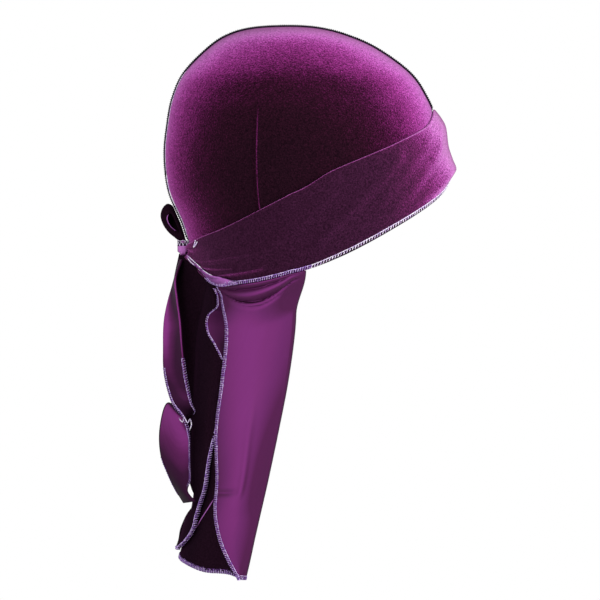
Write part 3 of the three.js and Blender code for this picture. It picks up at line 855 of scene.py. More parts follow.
crownRight = crownPanel("crown_panel_right", -1, True)
crownLeft = crownPanel("crown_panel_left", 1, False)
print("stage: crown")

# Centre seam

seam = {
    "width": 2.6,
    "rise": 1.7,
    "tuck": 0.8,
    "stations": 260,
    "taper": 5,
    "endRise": 0.2,
    "sunk": 0.3,  # how far its foot goes into the crown
    "yarnSunk": 0.1,
    "foot": 0.25,  # the share of its height below its round top
    "roundPoints": 9,
}


def seamRise():
    # the seam flattens where it goes under the wrap
    count = seam["stations"]
    fromEnd = np.minimum(np.arange(count), count - 1 - np.arange(count))
    return seam["rise"] * mix(seam["endRise"], 1, smoothStep(fromEnd, 0, seam["taper"]))


def seamPath():
    frontEnd = climbAt(wrapEdge(0, 2) - seam["tuck"] / head["height"])
    backEnd = climbAt(wrapEdge(1, 2) - seam["tuck"] / head["height"])
    half = seam["stations"] // 2
    turns = np.concatenate([np.zeros(half), np.ones(half)])
    climbs = np.concatenate([np.linspace(frontEnd, 1, half + 1)[:-1], np.linspace(1, backEnd, half)])
    return turns, climbs


def centreSeam():
    turns, climbs = seamPath()
    base = crown["wall"] - seam["sunk"]
    # across, rise round the folded allowance
    foot = seam["foot"]
    around = np.linspace(0, np.pi, seam["roundPoints"])
    topRound = [(-0.5 * math.cos(a), foot + (1 - foot) * math.sin(a)) for a in around]
    section = [(-0.5, 0.0), *topRound, (0.5, 0.0)]
    rings = []
    for across, rise in section:
        ring = headLift(turns, climbs, base + rise * seamRise())
        ring[:, 1] = across * seam["width"]
        rings.append(ring)
    rings = np.array(rings)
    count, stations = rings.shape[:2]
    corners = rings.reshape(-1, 3) * mm
    faces = []
    for k in range(count):
        first, following = k * stations, (k + 1) % count * stations
        for s in range(stations - 1):
            faces.append((first + s, following + s, following + s + 1, first + s + 1))
    faces.append([k * stations for k in range(count)])
    faces.append([k * stations + stations - 1 for k in range(count)][::-1])
    mesh = bpy.data.meshes.new("centre_seam_allowance")
    mesh.from_pydata(corners.tolist(), [], faces)
    mesh.materials.append(darkThread)
    return finishMesh(mesh, newPiece("centre_seam_allowance", mesh))


seamAllowance = centreSeam()


seamSerging = {"bite": 2.2, "pitch": 1.5, "yarn": 0.2, "stand": 0.0}


def seamYarn():
    turns, climbs = seamPath()
    ridge = headLift(turns, climbs, crown["wall"] - seam["yarnSunk"] + seamRise())
    normal = headNormal(turns, climbs)
    aside = np.tile([0.0, 1.0, 0.0], (len(turns), 1))
    finishes = (darkThread, darkThread)
    return overlockEdge("centre_seam_yarn", ridge, -normal, aside, seam["width"], finishes, **seamSerging)


seamStitches = seamYarn()


def onHead(turn, z, lift):
    z = np.asarray(z, float)
    return headLift(np.full(z.shape, turn), climbAt(z / head["height"] + 1), np.full(z.shape, lift))


# the pale needle thread beside the seam, down the back
# it is drawn taut and thin over the crown, and lies looser lower down: highest z, lowest z, radius
needle = {"turn": -0.986, "lift": 1.85, "points": 14, "stretches": [(-28, -104, 0.2), (-100, -146, 0.38)]}
needleThreads = [
    strand(
        f"centre_seam_needle_thread_{at + 1}",
        onHead(needle["turn"], np.linspace(high, low, needle["points"]), needle["lift"]),
        radius,
        whiteThread,
    )
    for at, (high, low, radius) in enumerate(needle["stretches"])
]
print("stage: centre seam")

# Forehead wrap

wrap = {
    "wall": 1.6,
    "puff": 7.8,
    "lie": 0.8,
    "gatherDepth": 1.5,
    "gatherCount": 3,
    "gatherTurn": 0.72,
    "gatherFull": 0.98,
    "frontTurn": 0.17,
    "part": 0.008,
    "columns": 420,
    "rows": 44,
    "breadth": 45,
    "creaseDepth": 1.5,
    "creaseCount": 5.5,
    "creaseWander": (2.2, 5),  # how far the creases wander and how often
    "creaseTurns": (0.5, 0.95),  # where they begin and are full
    "edgeRound": 1.2,  # how far in from the top fold its edge is rounded
    "edgeDrop": 0.95,  # how much of the wall is rounded off there
    "edgeRows": [0.972, 0.979, 0.9853, 0.99055, 0.99475, 0.99755, 0.9993],  # extra rows near that fold
}

# across the wrap from its lower edge, how far its front rolls stand off
wrapRolls = [
    [0.0, 0.27], [0.08, 0.68], [0.16, 1.0], [0.3, 0.74], [0.47, 0.55], [0.74, 0.73], [0.87, 0.56], [1.0, 0.26]
]

# soft folds: from (turn, across) to (turn, across), half width and rise in mm
wrapFolds = [
    [0.13, 0.95, 0.3, 0.45, 5.5, 0.8],
    [0.1, 0.62, 0.27, 0.25, 5.0, 0.7],
    [0.26, 0.8, 0.44, 0.3, 4.6, 1.4],
    [0.42, 0.75, 0.62, 0.35, 5.5, 1.2],
    [0.5, 0.9, 0.78, 0.6, 5.0, 0.7],
    [0.59, 0.2, 0.82, 0.23, 1.4, 2.0],
    [0.58, 0.1, 0.74, 0.11, 1.8, -1.9],
    [0.62, 0.45, 0.95, 0.62, 2.0, 1.7],
    [0.7, 0.3, 0.97, 0.5, 1.8, 1.7],
]


# the lower edge is serged in white over dark round the front, and in violet where the cape hangs
frontSerging = {"bite": 2.0, "pitch": 2.2, "yarn": 0.29}
backSerging = {"bite": 2.2, "pitch": 1.7, "yarn": 0.24}
frontShare = (0.27, 0.73)
wrapSerging = [
    ("right_back", 0.0, frontShare[0], yarnPair, backSerging),
    ("front", *frontShare, contrastPair, frontSerging),
    ("left_back", frontShare[1], 1.0, yarnPair, backSerging),
]
edgeYarnAndShadow = {"off": 0.6, "radius": 0.42, "every": 8}


def wrapOffset(turn, across):
    around = np.abs(turn)
    front = bell(around, wrap["frontTurn"])
    back = smoothStep(around, wrap["gatherTurn"], wrap["gatherFull"])
    roll = readTable(wrapRolls, across)[..., 1] * wrap["puff"] - wrap["wall"]
    gather = wrap["gatherDepth"] * (0.5 - 0.5 * np.cos(2 * np.pi * wrap["gatherCount"] * across))
    drape = 0.5 * wrap["gatherDepth"] * np.sin(np.pi * across) * (1 - front) * (1 - back)
    return np.maximum(wrap["lie"] + back * gather + drape, front * roll)


def wrapCreases(turn, across):
    # folds that run askew over the side, and fine creases drawn to the knot
    around = np.abs(turn)
    halfRound = np.pi * 0.5 * (head["front"] + head["back"])
    lengthwise, widthwise = halfRound * around, wrap["breadth"] * across
    total = np.zeros(turn.shape)
    for fromTurn, fromAcross, toTurn, toAcross, halfWidth, rise in wrapFolds:
        start = np.array([halfRound * fromTurn, wrap["breadth"] * fromAcross])
        end = np.array([halfRound * toTurn, wrap["breadth"] * toAcross])
        span = end - start
        share = ((lengthwise - start[0]) * span[0] + (widthwise - start[1]) * span[1]) / (span @ span)
        held = np.clip(share, 0, 1)
        away = np.hypot(lengthwise - start[0] - held * span[0], widthwise - start[1] - held * span[1])
        total += rise * bell(away, halfWidth)
    drawn = smoothStep(around, *wrap["creaseTurns"])
    wander, often = wrap["creaseWander"]
    crease = np.abs(np.sin(np.pi * wrap["creaseCount"] * across + wander * np.sin(often * around)))
    total += wrap["creaseDepth"] * drawn * (1 - crease) * np.sin(np.pi * across)
    return total * np.sin(np.pi * np.clip(across, 0, 1)) ** 0.5


def foreheadWrap():
    turns = np.linspace(-1, 1, wrap["columns"]) * (1 - wrap["part"])
    evenRows = np.linspace(0, 0.965, wrap["rows"])
    rows = np.concatenate([evenRows, wrap["edgeRows"], [1.0]])
    turn, across = meshGrid(turns, rows)
    height = mix(wrapEdge(turn, 1), wrapEdge(turn, 2), across)
    climb = climbAt(height)
    lift = crown["wall"] + wrapOffset(turn, across)
    breadth = (wrapEdge(turn, 2) - wrapEdge(turn, 1)) * head["height"]
    inFrom = np.clip((1 - across) * breadth / wrap["edgeRound"], 0, 1)
    rounded = wrap["wall"] * (1 - np.sqrt(1 - (1 - inFrom) ** 2)) * wrap["edgeDrop"]
    outer = headLift(turn, climb, lift + wrap["wall"] + wrapCreases(turn, across) - rounded)
    inner = headLift(turn, climb, lift)
    cloth = clothWall("forehead_wrap_velvet", outer, inner, wrapVelvet, satin)
    edge = edgeOf((outer + inner) / 2, "firstRow")
    yarns = []
    for which, first, last, finishes, size in wrapSerging:
        run = partOf(edge, first, last)
        name = "forehead_wrap_overlock_" + which
        yarns.append(overlockEdge(name, *run, wrap["wall"], finishes, **size))
    # round the front a dark yarn lies along the very edge, and its dark line also paints the shadow there
    places, inward, _ = partOf(edge, *frontShare)
    edgeLine = (places - edgeYarnAndShadow["off"] * unit(inward))[:: edgeYarnAndShadow["every"]]
    yarns.append(strand("forehead_wrap_edge_yarn_and_shadow", edgeLine, edgeYarnAndShadow["radius"], darkThread))
    return cloth, yarns, outer


wrapCloth, wrapYarns, wrapOuter = foreheadWrap()

# the wrap's lower hem rolled out near the knot: x, z of its lower line, x, z of its upper line
turnedHem = [
    [0.0, -72.8, -158.4, -71.7, -158.1],
    [0.11, -69.3, -162.9, -67.9, -161.8],
    [0.22, -65.1, -166.4, -63.3, -165.9],
    [0.33, -60.9, -170.9, -59.5, -169.5],
    [0.43, -57.6, -174.5, -56.7, -171.3],
    [0.55, -53.9, -177.9, -53.2, -172.7],
    [0.68, -48.3, -180.0, -48.3, -173.8],
    [0.84, -42.7, -179.5, -42.7, -175.3],
    [1.0, -36.4, -178.1, -36.4, -177.4],
]
turnedHemSize = {"wall": 1.0, "off": 0.9, "bulge": 0.9, "columns": 80, "rows": 9, "thread": 0.36}


def hemRoll():
    along, across = shareGrid(turnedHemSize["columns"], turnedHemSize["rows"])
    row = readTable(turnedHem, along)
    x, z = mix(row[..., 1], row[..., 3], across), mix(row[..., 2], row[..., 4], across)
    rolled = restOn(wrapOuter, zip(x.ravel(), z.ravel()), turnedHemSize["off"]).reshape(*x.shape, 3)
    rolled[..., 1] -= turnedHemSize["bulge"] * np.sin(np.pi * across)
    return rolled


hemGrid = hemRoll()
hemCloth = clothSheet("wrap_turned_hem", hemGrid, turnedHemSize["wall"], hemSatinAndHighlight, hemSatinAndHighlight)
hemYarn = overlockEdge(
    "turned_hem_overlock",
    *partOf(edgeOf(hemGrid, "firstRow"), 0.42, 1.0),
    turnedHemSize["wall"],
    yarnPair,
    bite=3.4,
    pitch=1.3,
    yarn=0.18,
)
hemThreads = [
    strand("turned_hem_thread_" + which, edge + np.array([0, -0.6, 0]), turnedHemSize["thread"], whiteThread)
    for which, edge in (("lower", hemGrid[:48:6, 0]), ("upper", hemGrid[:46:6, -1]))
]
print("stage: forehead wrap")

# Knot and bow loop

knot = {
    "depth": 7.6,
    "height": 11.4,
    "level": -0.74,
    "roundness": 0.65,
    "crease": 0.1,
    "fine": (0.035, 9, 3),  # small gathers: depth, count round it, twist across it
    "segments": (96, 64),
}


def knotCentre():
    lift = crown["wall"] + wrap["lie"] + wrap["gatherDepth"] + wrap["wall"] + clearance
    seat = headLift(1.0, climbAt(knot["level"]), np.array(lift))
    return seat + np.array([-knot["depth"] / 2, 0, 0])


knotDress = {"shift": (2.1, 0, 2.1), "depth": 8.4, "height": 11.6, "width": 15.5}


def knotMiddle():
    return knotCentre() + np.array(knotDress["shift"])


def knotBody():
    centre = knotMiddle()
    ball = bpy.data.meshes.new("tied_knot")
    work = bmesh.new()
    around, up = knot["segments"]
    bmesh.ops.create_uvsphere(work, u_segments=around, v_segments=up, radius=1)
    fineDepth, fineCount, fineTwist = knot["fine"]
    for vertex in work.verts:
        x, y, z = vertex.co
        pinch = 1 - math.cos(4 * math.atan2(z, x))
        crease = 1 - knot["crease"] * pinch * (1 - y * y)
        fine = 1 + fineDepth * math.cos(fineCount * math.atan2(z, x) + fineTwist * y)

        def squared(value):
            return math.copysign(abs(value) ** knot["roundness"], value)

        vertex.co = (
            (centre[0] + squared(x) * crease * fine * knotDress["depth"] / 2) * mm,
            (centre[1] + squared(y) * knotDress["width"] / 2) * mm,
            (centre[2] + squared(z) * crease * fine * knotDress["height"] / 2) * mm,
        )
    bmesh.ops.recalc_face_normals(work, faces=work.faces)
    work.to_mesh(ball)
    work.free()
    ball.materials.append(knotSatin)
    ball.uv_layers.new(name="cloth")
    ball.shade_smooth()
    return newPiece("tied_knot", ball)


knotPiece = knotBody()


knotEdge = {"from": -0.93, "to": 1.15, "low": 0.3, "high": 0.97, "bite": 4.2, "points": 40, "wall": 0.6}


def knotFront(across, up):
    # the near side of the knot at shares of its half depth and half height
    power = 2 / knot["roundness"]
    left = np.clip(1 - np.abs(across) ** power - np.abs(up) ** power, 0.02, 1)
    return -left ** (1 / power) * knotDress["width"] / 2


def knotSerging(name, finish, off, **changes):
    # the tie's overlocked edge comes over the upper half of the knot
    half = np.array([knotDress["depth"], 0, knotDress["height"]]) / 2
    across = np.linspace(knotEdge["from"], knotEdge["to"], knotEdge["points"])
    ends = []
    for up in (knotEdge["low"], knotEdge["high"]):
        level = np.full(across.shape, up)
        y = knotFront(np.clip(across, -0.9, 0.9), level) - off
        ends.append(knotMiddle() + np.stack([across * half[0], y, level * half[2]], axis=1))
    inward = unit(ends[1] - ends[0])
    upward = np.cross(inward, np.array([1.0, 0, 0]))
    finishes, bite = (finish, finish), knotEdge["bite"]
    return overlockEdge(name, ends[0], inward, upward, knotEdge["wall"], finishes, bite=bite, **changes)


knotYarns = [
    knotSerging("knot_overlock_dark", darkThread, 0.2, pitch=1.0, yarn=0.34),
    knotSerging("knot_overlock_pale", whiteThread, 0.8, pitch=2.6, yarn=0.2),
]

# loose needle thread where the wrap's top fold runs into the knot: x, z
threadEnds = [
    [(-65.8, -147.5), (-66.4, -150.3), (-67.2, -153.1)], [(-64.4, -148.9), (-65.4, -150.6), (-66.5, -152.4)]
]
threadEndPieces = [
    strand(f"loose_thread_{at + 1}", restOn(wrapOuter, places, 0.8), 0.42, whiteThread)
    for at, places in enumerate(threadEnds)
]

loop = {
    "wall": 1.5,
    "halfWidth": 9,
    "nearPinch": 0.52,  # how far its near edge is turned in
    "farPinch": 0.02,  # its far edge is drawn together
    "fullest": 0.3,  # where it is widest, from the near edge to the far one
    "seat": 0.2,  # how far its inner leg lies off the seam
    "rows": 150,
    "columns": 28,
}
loopEye = {"back": 6.8, "up": 18.1}
# along, back, up in mm from the knot's middle, halfWidth; the inner leg then follows the seam down
loopPath = [
    [0.0, -2.5, 4.0, 0.5],
    [0.05, 2.2, 5.4, 0.55],
    [0.12, 5.6, 7.8, 0.65],
    [0.22, 9.6, 11.2, 0.8],
    [0.33, 13.1, 16.0, 0.95],
    [0.45, 15.1, 22.1, 1.0],
    [0.55, 14.1, 26.8, 1.0],
    [0.63, 11.6, 29.8, 1.0],
    [0.7, 8.4, 30.9, 1.0],
]
loopLeg = {"from": 0.7, "high": 27.6, "low": 3.6, "halfWidth": 0.5, "blend": 0.06}


def bowLoopMiddle():
    centre = knotMiddle()
    along, across = shareGrid(loop["rows"], loop["columns"])
    row = readTable(loopPath, np.minimum(along, loopLeg["from"]))
    down = np.clip((along - loopLeg["from"]) / (1 - loopLeg["from"]), 0, 1)
    z = centre[2] + mix(loopLeg["high"], loopLeg["low"], down)
    lift = crown["wall"] + seam["rise"] + loop["wall"] / 2 + loop["seat"]
    seated = onHead(1.0, z, lift)
    inLeg = smoothStep(along, loopLeg["from"] - loopLeg["blend"], loopLeg["from"] + loopLeg["blend"])
    back = mix(row[..., 1], centre[0] - seated[..., 0], inLeg)
    up = mix(row[..., 2], seated[..., 2] - centre[2], inLeg)
    halfWidth = mix(row[..., 3], loopLeg["halfWidth"], down) * loop["halfWidth"]
    opened = mix(loop["nearPinch"], 1, np.sin(0.5 * np.pi * np.clip(across / loop["fullest"], 0, 1)))
    closing = np.clip((across - loop["fullest"]) / (1 - loop["fullest"]), 0, 1)
    drawn = opened * mix(1, loop["farPinch"], closing**2)
    return np.stack(
        [
            centre[0] - mix(loopEye["back"], back, drawn),
            centre[1] + (2 * across - 1) * halfWidth,
            centre[2] + mix(loopEye["up"], up, drawn),
        ],
        axis=-1,
    )


loopMiddle = bowLoopMiddle()
loopCloth = clothSheet("bow_loop_velvet", loopMiddle, loop["wall"], hangingShadedVelvet, hangingShadedVelvet)
# the turned edge of the loop catches the light
loopEdge = strand("bow_loop_edge", loopMiddle[8:96:8, 0] + np.array([0, -0.7, 0]), 0.4, hemSatinAndHighlight)
print("stage: knot and bow loop")

# Cape

cape = {
    "wall": 1.5,
    "length": 231,
    "reach": 64.5,
    "halfWidth": 60,
    "napeTuck": 28.5,
    "settle": 30,
    "flapLie": 2.3,
    "flapStandOff": 4,
    "leftEdgeSet": 5.4,
    "foldTurn": -0.472,
    "flapEdgeTurn": -0.85,
    "roundness": 0.42,
    "rows": 165,
    "rowCrowding": 1.15,
}

# folds that hang across the top of the flap: how low they reach (mm), half width, how far out
flapSwags = [[3.6, 1.3, -2.2], [8.4, 2.4, 2.2], [12.6, 1.1, -3.0], [16.2, 0.9, -1.0]]
swagSpread = 0.6  # how blunt the ends of these folds are

# a soft ridge down the flap: down, where across (0 fold, 1 free edge), how far out
flapRidge = [
    [0.15, 0.5, 0.0],
    [0.3, 0.46, 1.2],
    [0.41, 0.45, 2.6],
    [0.52, 0.45, 4.2],
    [0.64, 0.46, 5.2],
    [0.72, 0.46, 4.4],
    [0.8, 0.48, 2.2],
    [0.9, 0.5, 1.2],
    [1.0, 0.5, 0.8],
]
ridgeSlope = 1.7
# a narrow fold on that ridge: down, where across, how far out
flapPleat = [
    [0.0, 0.43, 0.0],
    [0.36, 0.43, 0.0],
    [0.5, 0.43, 0.5],
    [0.62, 0.44, 0.6],
    [0.7, 0.46, 0.6],
    [0.74, 0.47, 0.0],
    [1.0, 0.47, 0.0],
]
flapPleatWidth = 0.06
# a wrinkle across its lower part: where down, half width, how far in, where it ends across
flapWrinkle = {"down": 0.705, "width": 0.01, "depth": 1.7, "from": 0.45, "fade": 0.35}

# drop, back, fold, free, side
capeSections = [
    [0.0, 0.0, 1.04, 0.08, 1.0],
    [0.1, -0.01, 0.94, 0.11, 0.97],
    [0.25, -0.1, 0.905, 0.163, 0.88],
    [0.4, -0.13, 0.832, 0.118, 0.8],
    [0.55, -0.15, 0.728, 0.055, 0.75],
    [0.7, -0.163, 0.615, 0.065, 0.72],
    [0.8, -0.21, 0.533, 0.043, 0.7],
    [0.88, -0.28, 0.468, 0.09, 0.69],
    [0.94, -0.34, 0.422, 0.178, 0.68],
    [1.0, -0.36, 0.372, 0.3, 0.67],
]

# forward, drop of the hem
capeHem = [[0.0, 0.935], [0.3, 0.955], [0.6, 0.978], [0.85, 0.984], [1.0, 1.0]]
capeTop = (knot["level"] - 1) * head["height"]


def capePlan(drop):
    row = readTable(capeSections, drop)
    root = cape["napeTuck"] - head["back"]
    back, fold, free = (root + row[..., column] * cape["reach"] for column in (1, 2, 3))
    return back, fold, free, row[..., 4] * cape["halfWidth"]


def dropAt(z):
    return np.clip((capeTop - z) / cape["length"], 0, 1)


def capeSide(x, plan):
    back, fold, _, side = plan
    forward = np.clip((fold - x) / (fold - back), 0, 1)
    return side * (1 - forward**2) ** cape["roundness"]


def capeColumns(count):
    left = [("left", 1 - share) for share in np.linspace(0, 1, count)]
    right = [("right", share) for share in np.linspace(0, 1, count)[1:]]
    turned = [("turned", share) for share in np.linspace(0, 1, 14)[1:-1]]
    flap = [("flap", share) for share in np.linspace(0, 1, count)]
    return left + right + turned + flap


def capeColumn(part, share, down):
    side = 1 if part == "left" else -1
    forward = share if part in ("left", "right") else 1
    flapTurn = mix(cape["foldTurn"], cape["flapEdgeTurn"], share if part == "flap" else 0)
    layerTurn = side * mix(1, abs(cape["foldTurn"]), forward)
    turn = np.array(flapTurn if part == "flap" else layerTurn)
    outward = 1 if part in ("turned", "flap") else 0
    wrapReach = crown["wall"] + wrapOffset(turn, np.array(0.0)) + wrap["wall"]
    under = lowestCorner(turn, wrapEdge(turn, 1), wrapReach) - clearance
    sewn = lowestCorner(turn, rimHeight(turn), crown["wall"]) - clearance
    top = mix(sewn, under, outward)
    hem = capeTop - readTable(capeHem, np.array(float(forward)))[1] * cape["length"]
    z = mix(top, hem, down)
    plan = capePlan(dropAt(z))
    back, fold, free, planSide = plan
    settled = smoothStep(under - z, 0, cape["settle"])
    spread = mix(cape["flapLie"], cape["flapStandOff"], settled)
    climb = climbAt(z / head["height"] + 1)
    seat = onHead(turn, z, crown["wall"] / 2)
    aside = headNormal(turn, climb).copy()
    aside[..., 2] = 0
    aside = unit(aside)
    if part == "flap":
        seat = seat + aside * cape["flapLie"]
        x = mix(fold - spread / 2, free, share)
        below = under - z
        hang = max(math.sin(math.pi * share), 0.02) ** swagSpread
        swag = sum(rise * bell(below / hang - reach, width) for reach, width, rise in flapSwags)
        swag = swag * hang * smoothStep(below, 0.0, 3.0)
        ridge = readTable(flapRidge, down)
        crestAt = ridge[:, 1]
        beside = np.maximum((crestAt - share) / crestAt, (share - crestAt) / (1 - crestAt))
        crest = np.maximum(ridge[:, 2], 0) * (1 - beside**ridgeSlope)
        pleat = readTable(flapPleat, down)
        crest = crest + np.maximum(pleat[:, 2], 0) * bell(share - pleat[:, 1], flapPleatWidth)
        wrinkled = smoothStep(share, flapWrinkle["from"], flapWrinkle["from"] + flapWrinkle["fade"])
        line = bell(down - flapWrinkle["down"], flapWrinkle["width"])
        crest = crest - flapWrinkle["depth"] * wrinkled * line
        y = -(capeSide(x, plan) + spread + crest)
        seat = seat + aside * swag[:, None]
        y = y - swag
    elif part == "turned":
        bend = np.pi * share
        seat = seat + aside * (cape["flapLie"] / 2) * (1 - np.cos(bend))
        seat[..., 0] += (cape["flapLie"] / 2) * np.sin(bend)
        x = fold - spread / 2 + (spread / 2) * np.sin(bend)
        y = -(planSide + (spread / 2) * (1 - np.cos(bend)))
    else:
        angle = (np.pi / 2) * forward
        front = fold - (cape["leftEdgeSet"] if part == "left" else spread / 2)
        x = front - (front - back) * np.cos(angle)
        y = side * planSide * np.sin(angle) ** (2 * cape["roundness"])
    return np.stack([mix(seat[..., 0], x, settled), mix(seat[..., 1], y, settled), z], axis=-1)


capeDown = np.linspace(0, 1, cape["rows"]) ** cape["rowCrowding"]
capeColumnCount = 48
capeMiddle = np.array([capeColumn(part, share, capeDown) for part, share in capeColumns(capeColumnCount)])
capeCloth = clothSheet("cape_cloth", capeMiddle, cape["wall"], satin, hangingShadedVelvet, satin)
capeEdges = joinEdges(
    (edgeOf(capeMiddle, "firstColumn"), False),
    (edgeOf(capeMiddle, "lastRow"), False),
    (edgeOf(capeMiddle, "lastColumn"), True),
)
capeYarn = overlockEdge("cape_overlock", *capeEdges, cape["wall"], yarnPair, bite=2.8, pitch=1.3, yarn=0.2)

# the under layer's free edge curls out from under the flap
# down, how far it comes out past the flap's edge in mm
curlOut = [
    [0.0, 3.4],
    [0.11, 3.9],
    [0.23, 4.0],
    [0.29, 5.6],
    [0.36, 10.6],
    [0.45, 13.2],
    [0.52, 13.7],
    [0.64, 12.6],
    [0.77, 8.6],
    [0.91, 4.4],
    [1.0, 2.0],
]
curl = {
    "top": -181.5,
    "low": -230.5,
    "under": 1.4,
    "behind": 1.2,
    "forward": 2.2,
    "wall": 0.9,
    "rows": 90,
    "columns": 20,
    "turnIn": 1.4,  # how tightly it rolls
    "full": 8,  # how far out it has to come before it rolls forward fully
}


def flapEdgeAt(z):
    # x and y of the flap's free edge at a height
    edge = capeMiddle[-1]
    order = np.argsort(edge[:, 2])
    return np.interp(z, edge[order, 2], edge[order, 0]), np.interp(z, edge[order, 2], edge[order, 1])


def curledEdge():
    down, across = shareGrid(curl["rows"], curl["columns"])
    z = mix(curl["top"], curl["low"], down)
    edgeX, edgeY = flapEdgeAt(z)
    out = readTable(curlOut, down)[..., 1]
    x = edgeX + curl["under"] - (1 - across) * (out + curl["under"])
    rolled = np.sin(0.5 * np.pi * (1 - across)) ** curl["turnIn"]
    fullness = np.clip(out / curl["full"], 0.1, 1)
    y = edgeY + curl["behind"] - (curl["behind"] + curl["forward"]) * rolled * fullness
    return np.stack([x, y, z], axis=-1)


curlGrid = curledEdge()
curlCloth = clothSheet("cape_curled_edge", curlGrid, curl["wall"], shadedSatin, hangingShadedVelvet)
curlYarn = overlockEdge(
    "cape_curled_edge_overlock", *edgeOf(curlGrid, "firstRow"), curl["wall"], yarnPair, bite=1.2, yarn=0.18
)

# painted highlight: a pale strand along the crease where the layer under the back tie is folded: x, z in mm
crease = [
    (-52.5, -327.4),
    (-57.0, -334.7),
    (-61.6, -341.8),
    (-66.1, -349.4),
    (-71.4, -357.5),
    (-76.7, -364.5),
]
creaseHighlightSize = {"off": 1.5, "radius": 0.45}


def creaseHighlightLine():
    x, z = np.array(crease).T
    y = -(np.nan_to_num(capeSide(x, capePlan(dropAt(z)))) + creaseHighlightSize["off"])
    return strand("cape_fold_highlight", np.stack([x, y, z], axis=1), creaseHighlightSize["radius"], hemSatinAndHighlight)


creaseHighlight = creaseHighlightLine()
print("stage: cape")

# Hanging tie ends

tails = {"wall": 1.5, "width": 24, "depth": 30, "standOff": 3.4, "bulge": 2.2}
twisted = {"length": 171, "rows": 240, "columns": 26, "turnOver": 1.9}
backTail = {
    "top": -157.2,
    "length": 206.5,
    "rows": 220,
    "columns": 40,
    "tuck": 2.0,  # how far its middle stands off the cape where it goes under the flap
    "tuckWidth": 7,
    "underFlap": 14,
    "shortOfFlap": 0.8,
    "comesAway": (196, 208),  # how far down, mm
    "offCape": 1.6,
}

# along, backOut, backDrop, backDepth, frontOut, frontDrop, frontDepth
twistedEdges = [
    [0.0, -0.03, 0.0, 0.05, 0.06, 0.0, 0.3],
    [0.08, -0.165, 0.08, 0.1, -0.125, 0.08, 0.75],
    [0.166, -0.355, 0.166, 0.25, -0.071, 0.166, 0.85],
    [0.252, -0.475, 0.252, 0.36, 0.017, 0.252, 0.95],
    [0.355, -0.497, 0.355, 0.42, 0.075, 0.355, 1.0],
    [0.46, -0.465, 0.47, 0.6, 0.175, 0.47, 1.02],
    [0.53, -0.25, 0.58, 0.92, 0.34, 0.58, 0.92],
    [0.58, 0.02, 0.632, 1.14, 0.4, 0.625, 0.66],
    [0.63, 0.2, 0.672, 1.16, -0.02, 0.615, 0.46],
    [0.69, 0.28, 0.72, 1.06, -0.38, 0.59, 0.42],
    [0.76, 0.3, 0.78, 0.98, -0.575, 0.69, 0.46],
    [0.84, 0.305, 0.85, 0.92, -0.55, 0.795, 0.46],
    [0.9, 0.31, 0.9, 0.98, -0.36, 0.868, 0.5],
    [0.95, 0.24, 0.945, 1.06, -0.13, 0.935, 0.52],
    [1.0, 0.46, 0.985, 1.14, 0.12, 0.993, 0.62],
]

# drop, back edge, its depth, front edge, its depth, as shares of the tie's width from the root
backEdges = [
    [0.0, -0.012, 0.0, 0.104, 0.1],
    [0.027, -0.062, 0.02, 0.352, 0.4],
    [0.054, -0.115, 0.04, 0.615, 0.6],
    [0.088, -0.17, 0.06, 0.92, 0.8],
    [0.122, -0.187, 0.08, 1.18, 0.9],
    [0.19, -0.13, 0.1, 1.315, 0.95],
    [0.271, -0.012, 0.12, 1.43, 0.95],
    [0.353, 0.046, 0.14, 1.36, 0.95],
    [0.434, 0.075, 0.14, 1.33, 0.95],
    [0.529, 0.162, 0.14, 1.2, 0.95],
    [0.597, 0.19, 0.14, 1.105, 0.92],
    [0.64, 0.2, 0.14, 1.0, 0.9],
    [0.709, 0.22, 0.16, 0.883, 0.85],
    [0.753, 0.25, 0.2, 0.833, 0.82],
    [0.8, 0.38, 0.28, 0.757, 0.78],
    [0.833, 0.49, 0.3, 0.658, 0.75],
    [0.882, 0.22, 0.3, 0.53, 0.72],
    [0.931, 0.031, 0.3, 0.42, 0.68],
    [0.97, -0.03, 0.32, 0.19, 0.62],
    [0.993, -0.095, 0.36, -0.02, 0.55],
    [1.0, -0.1, 0.36, -0.05, 0.55],
]


def tailRoot():
    return knotCentre() + np.array([0, 0, -knot["height"] / 2 - clearance])


def tailPoint(length, out, drop, depth):
    root = tailRoot()
    return np.stack(
        [root[0] + out * tails["width"], root[1] - depth * tails["depth"], root[2] - drop * length], axis=-1
    )


def twistedMiddle():
    along, across = shareGrid(twisted["rows"], twisted["columns"])
    row = readTable(twistedEdges, along)
    start = tailPoint(twisted["length"], row[..., 1], row[..., 2], row[..., 3])
    end = tailPoint(twisted["length"], row[..., 4], row[..., 5], row[..., 6])
    middle = mix(start, end, across[..., None])
    middle[..., 1] = mix(start[..., 1], end[..., 1], across ** twisted["turnOver"])
    return middle


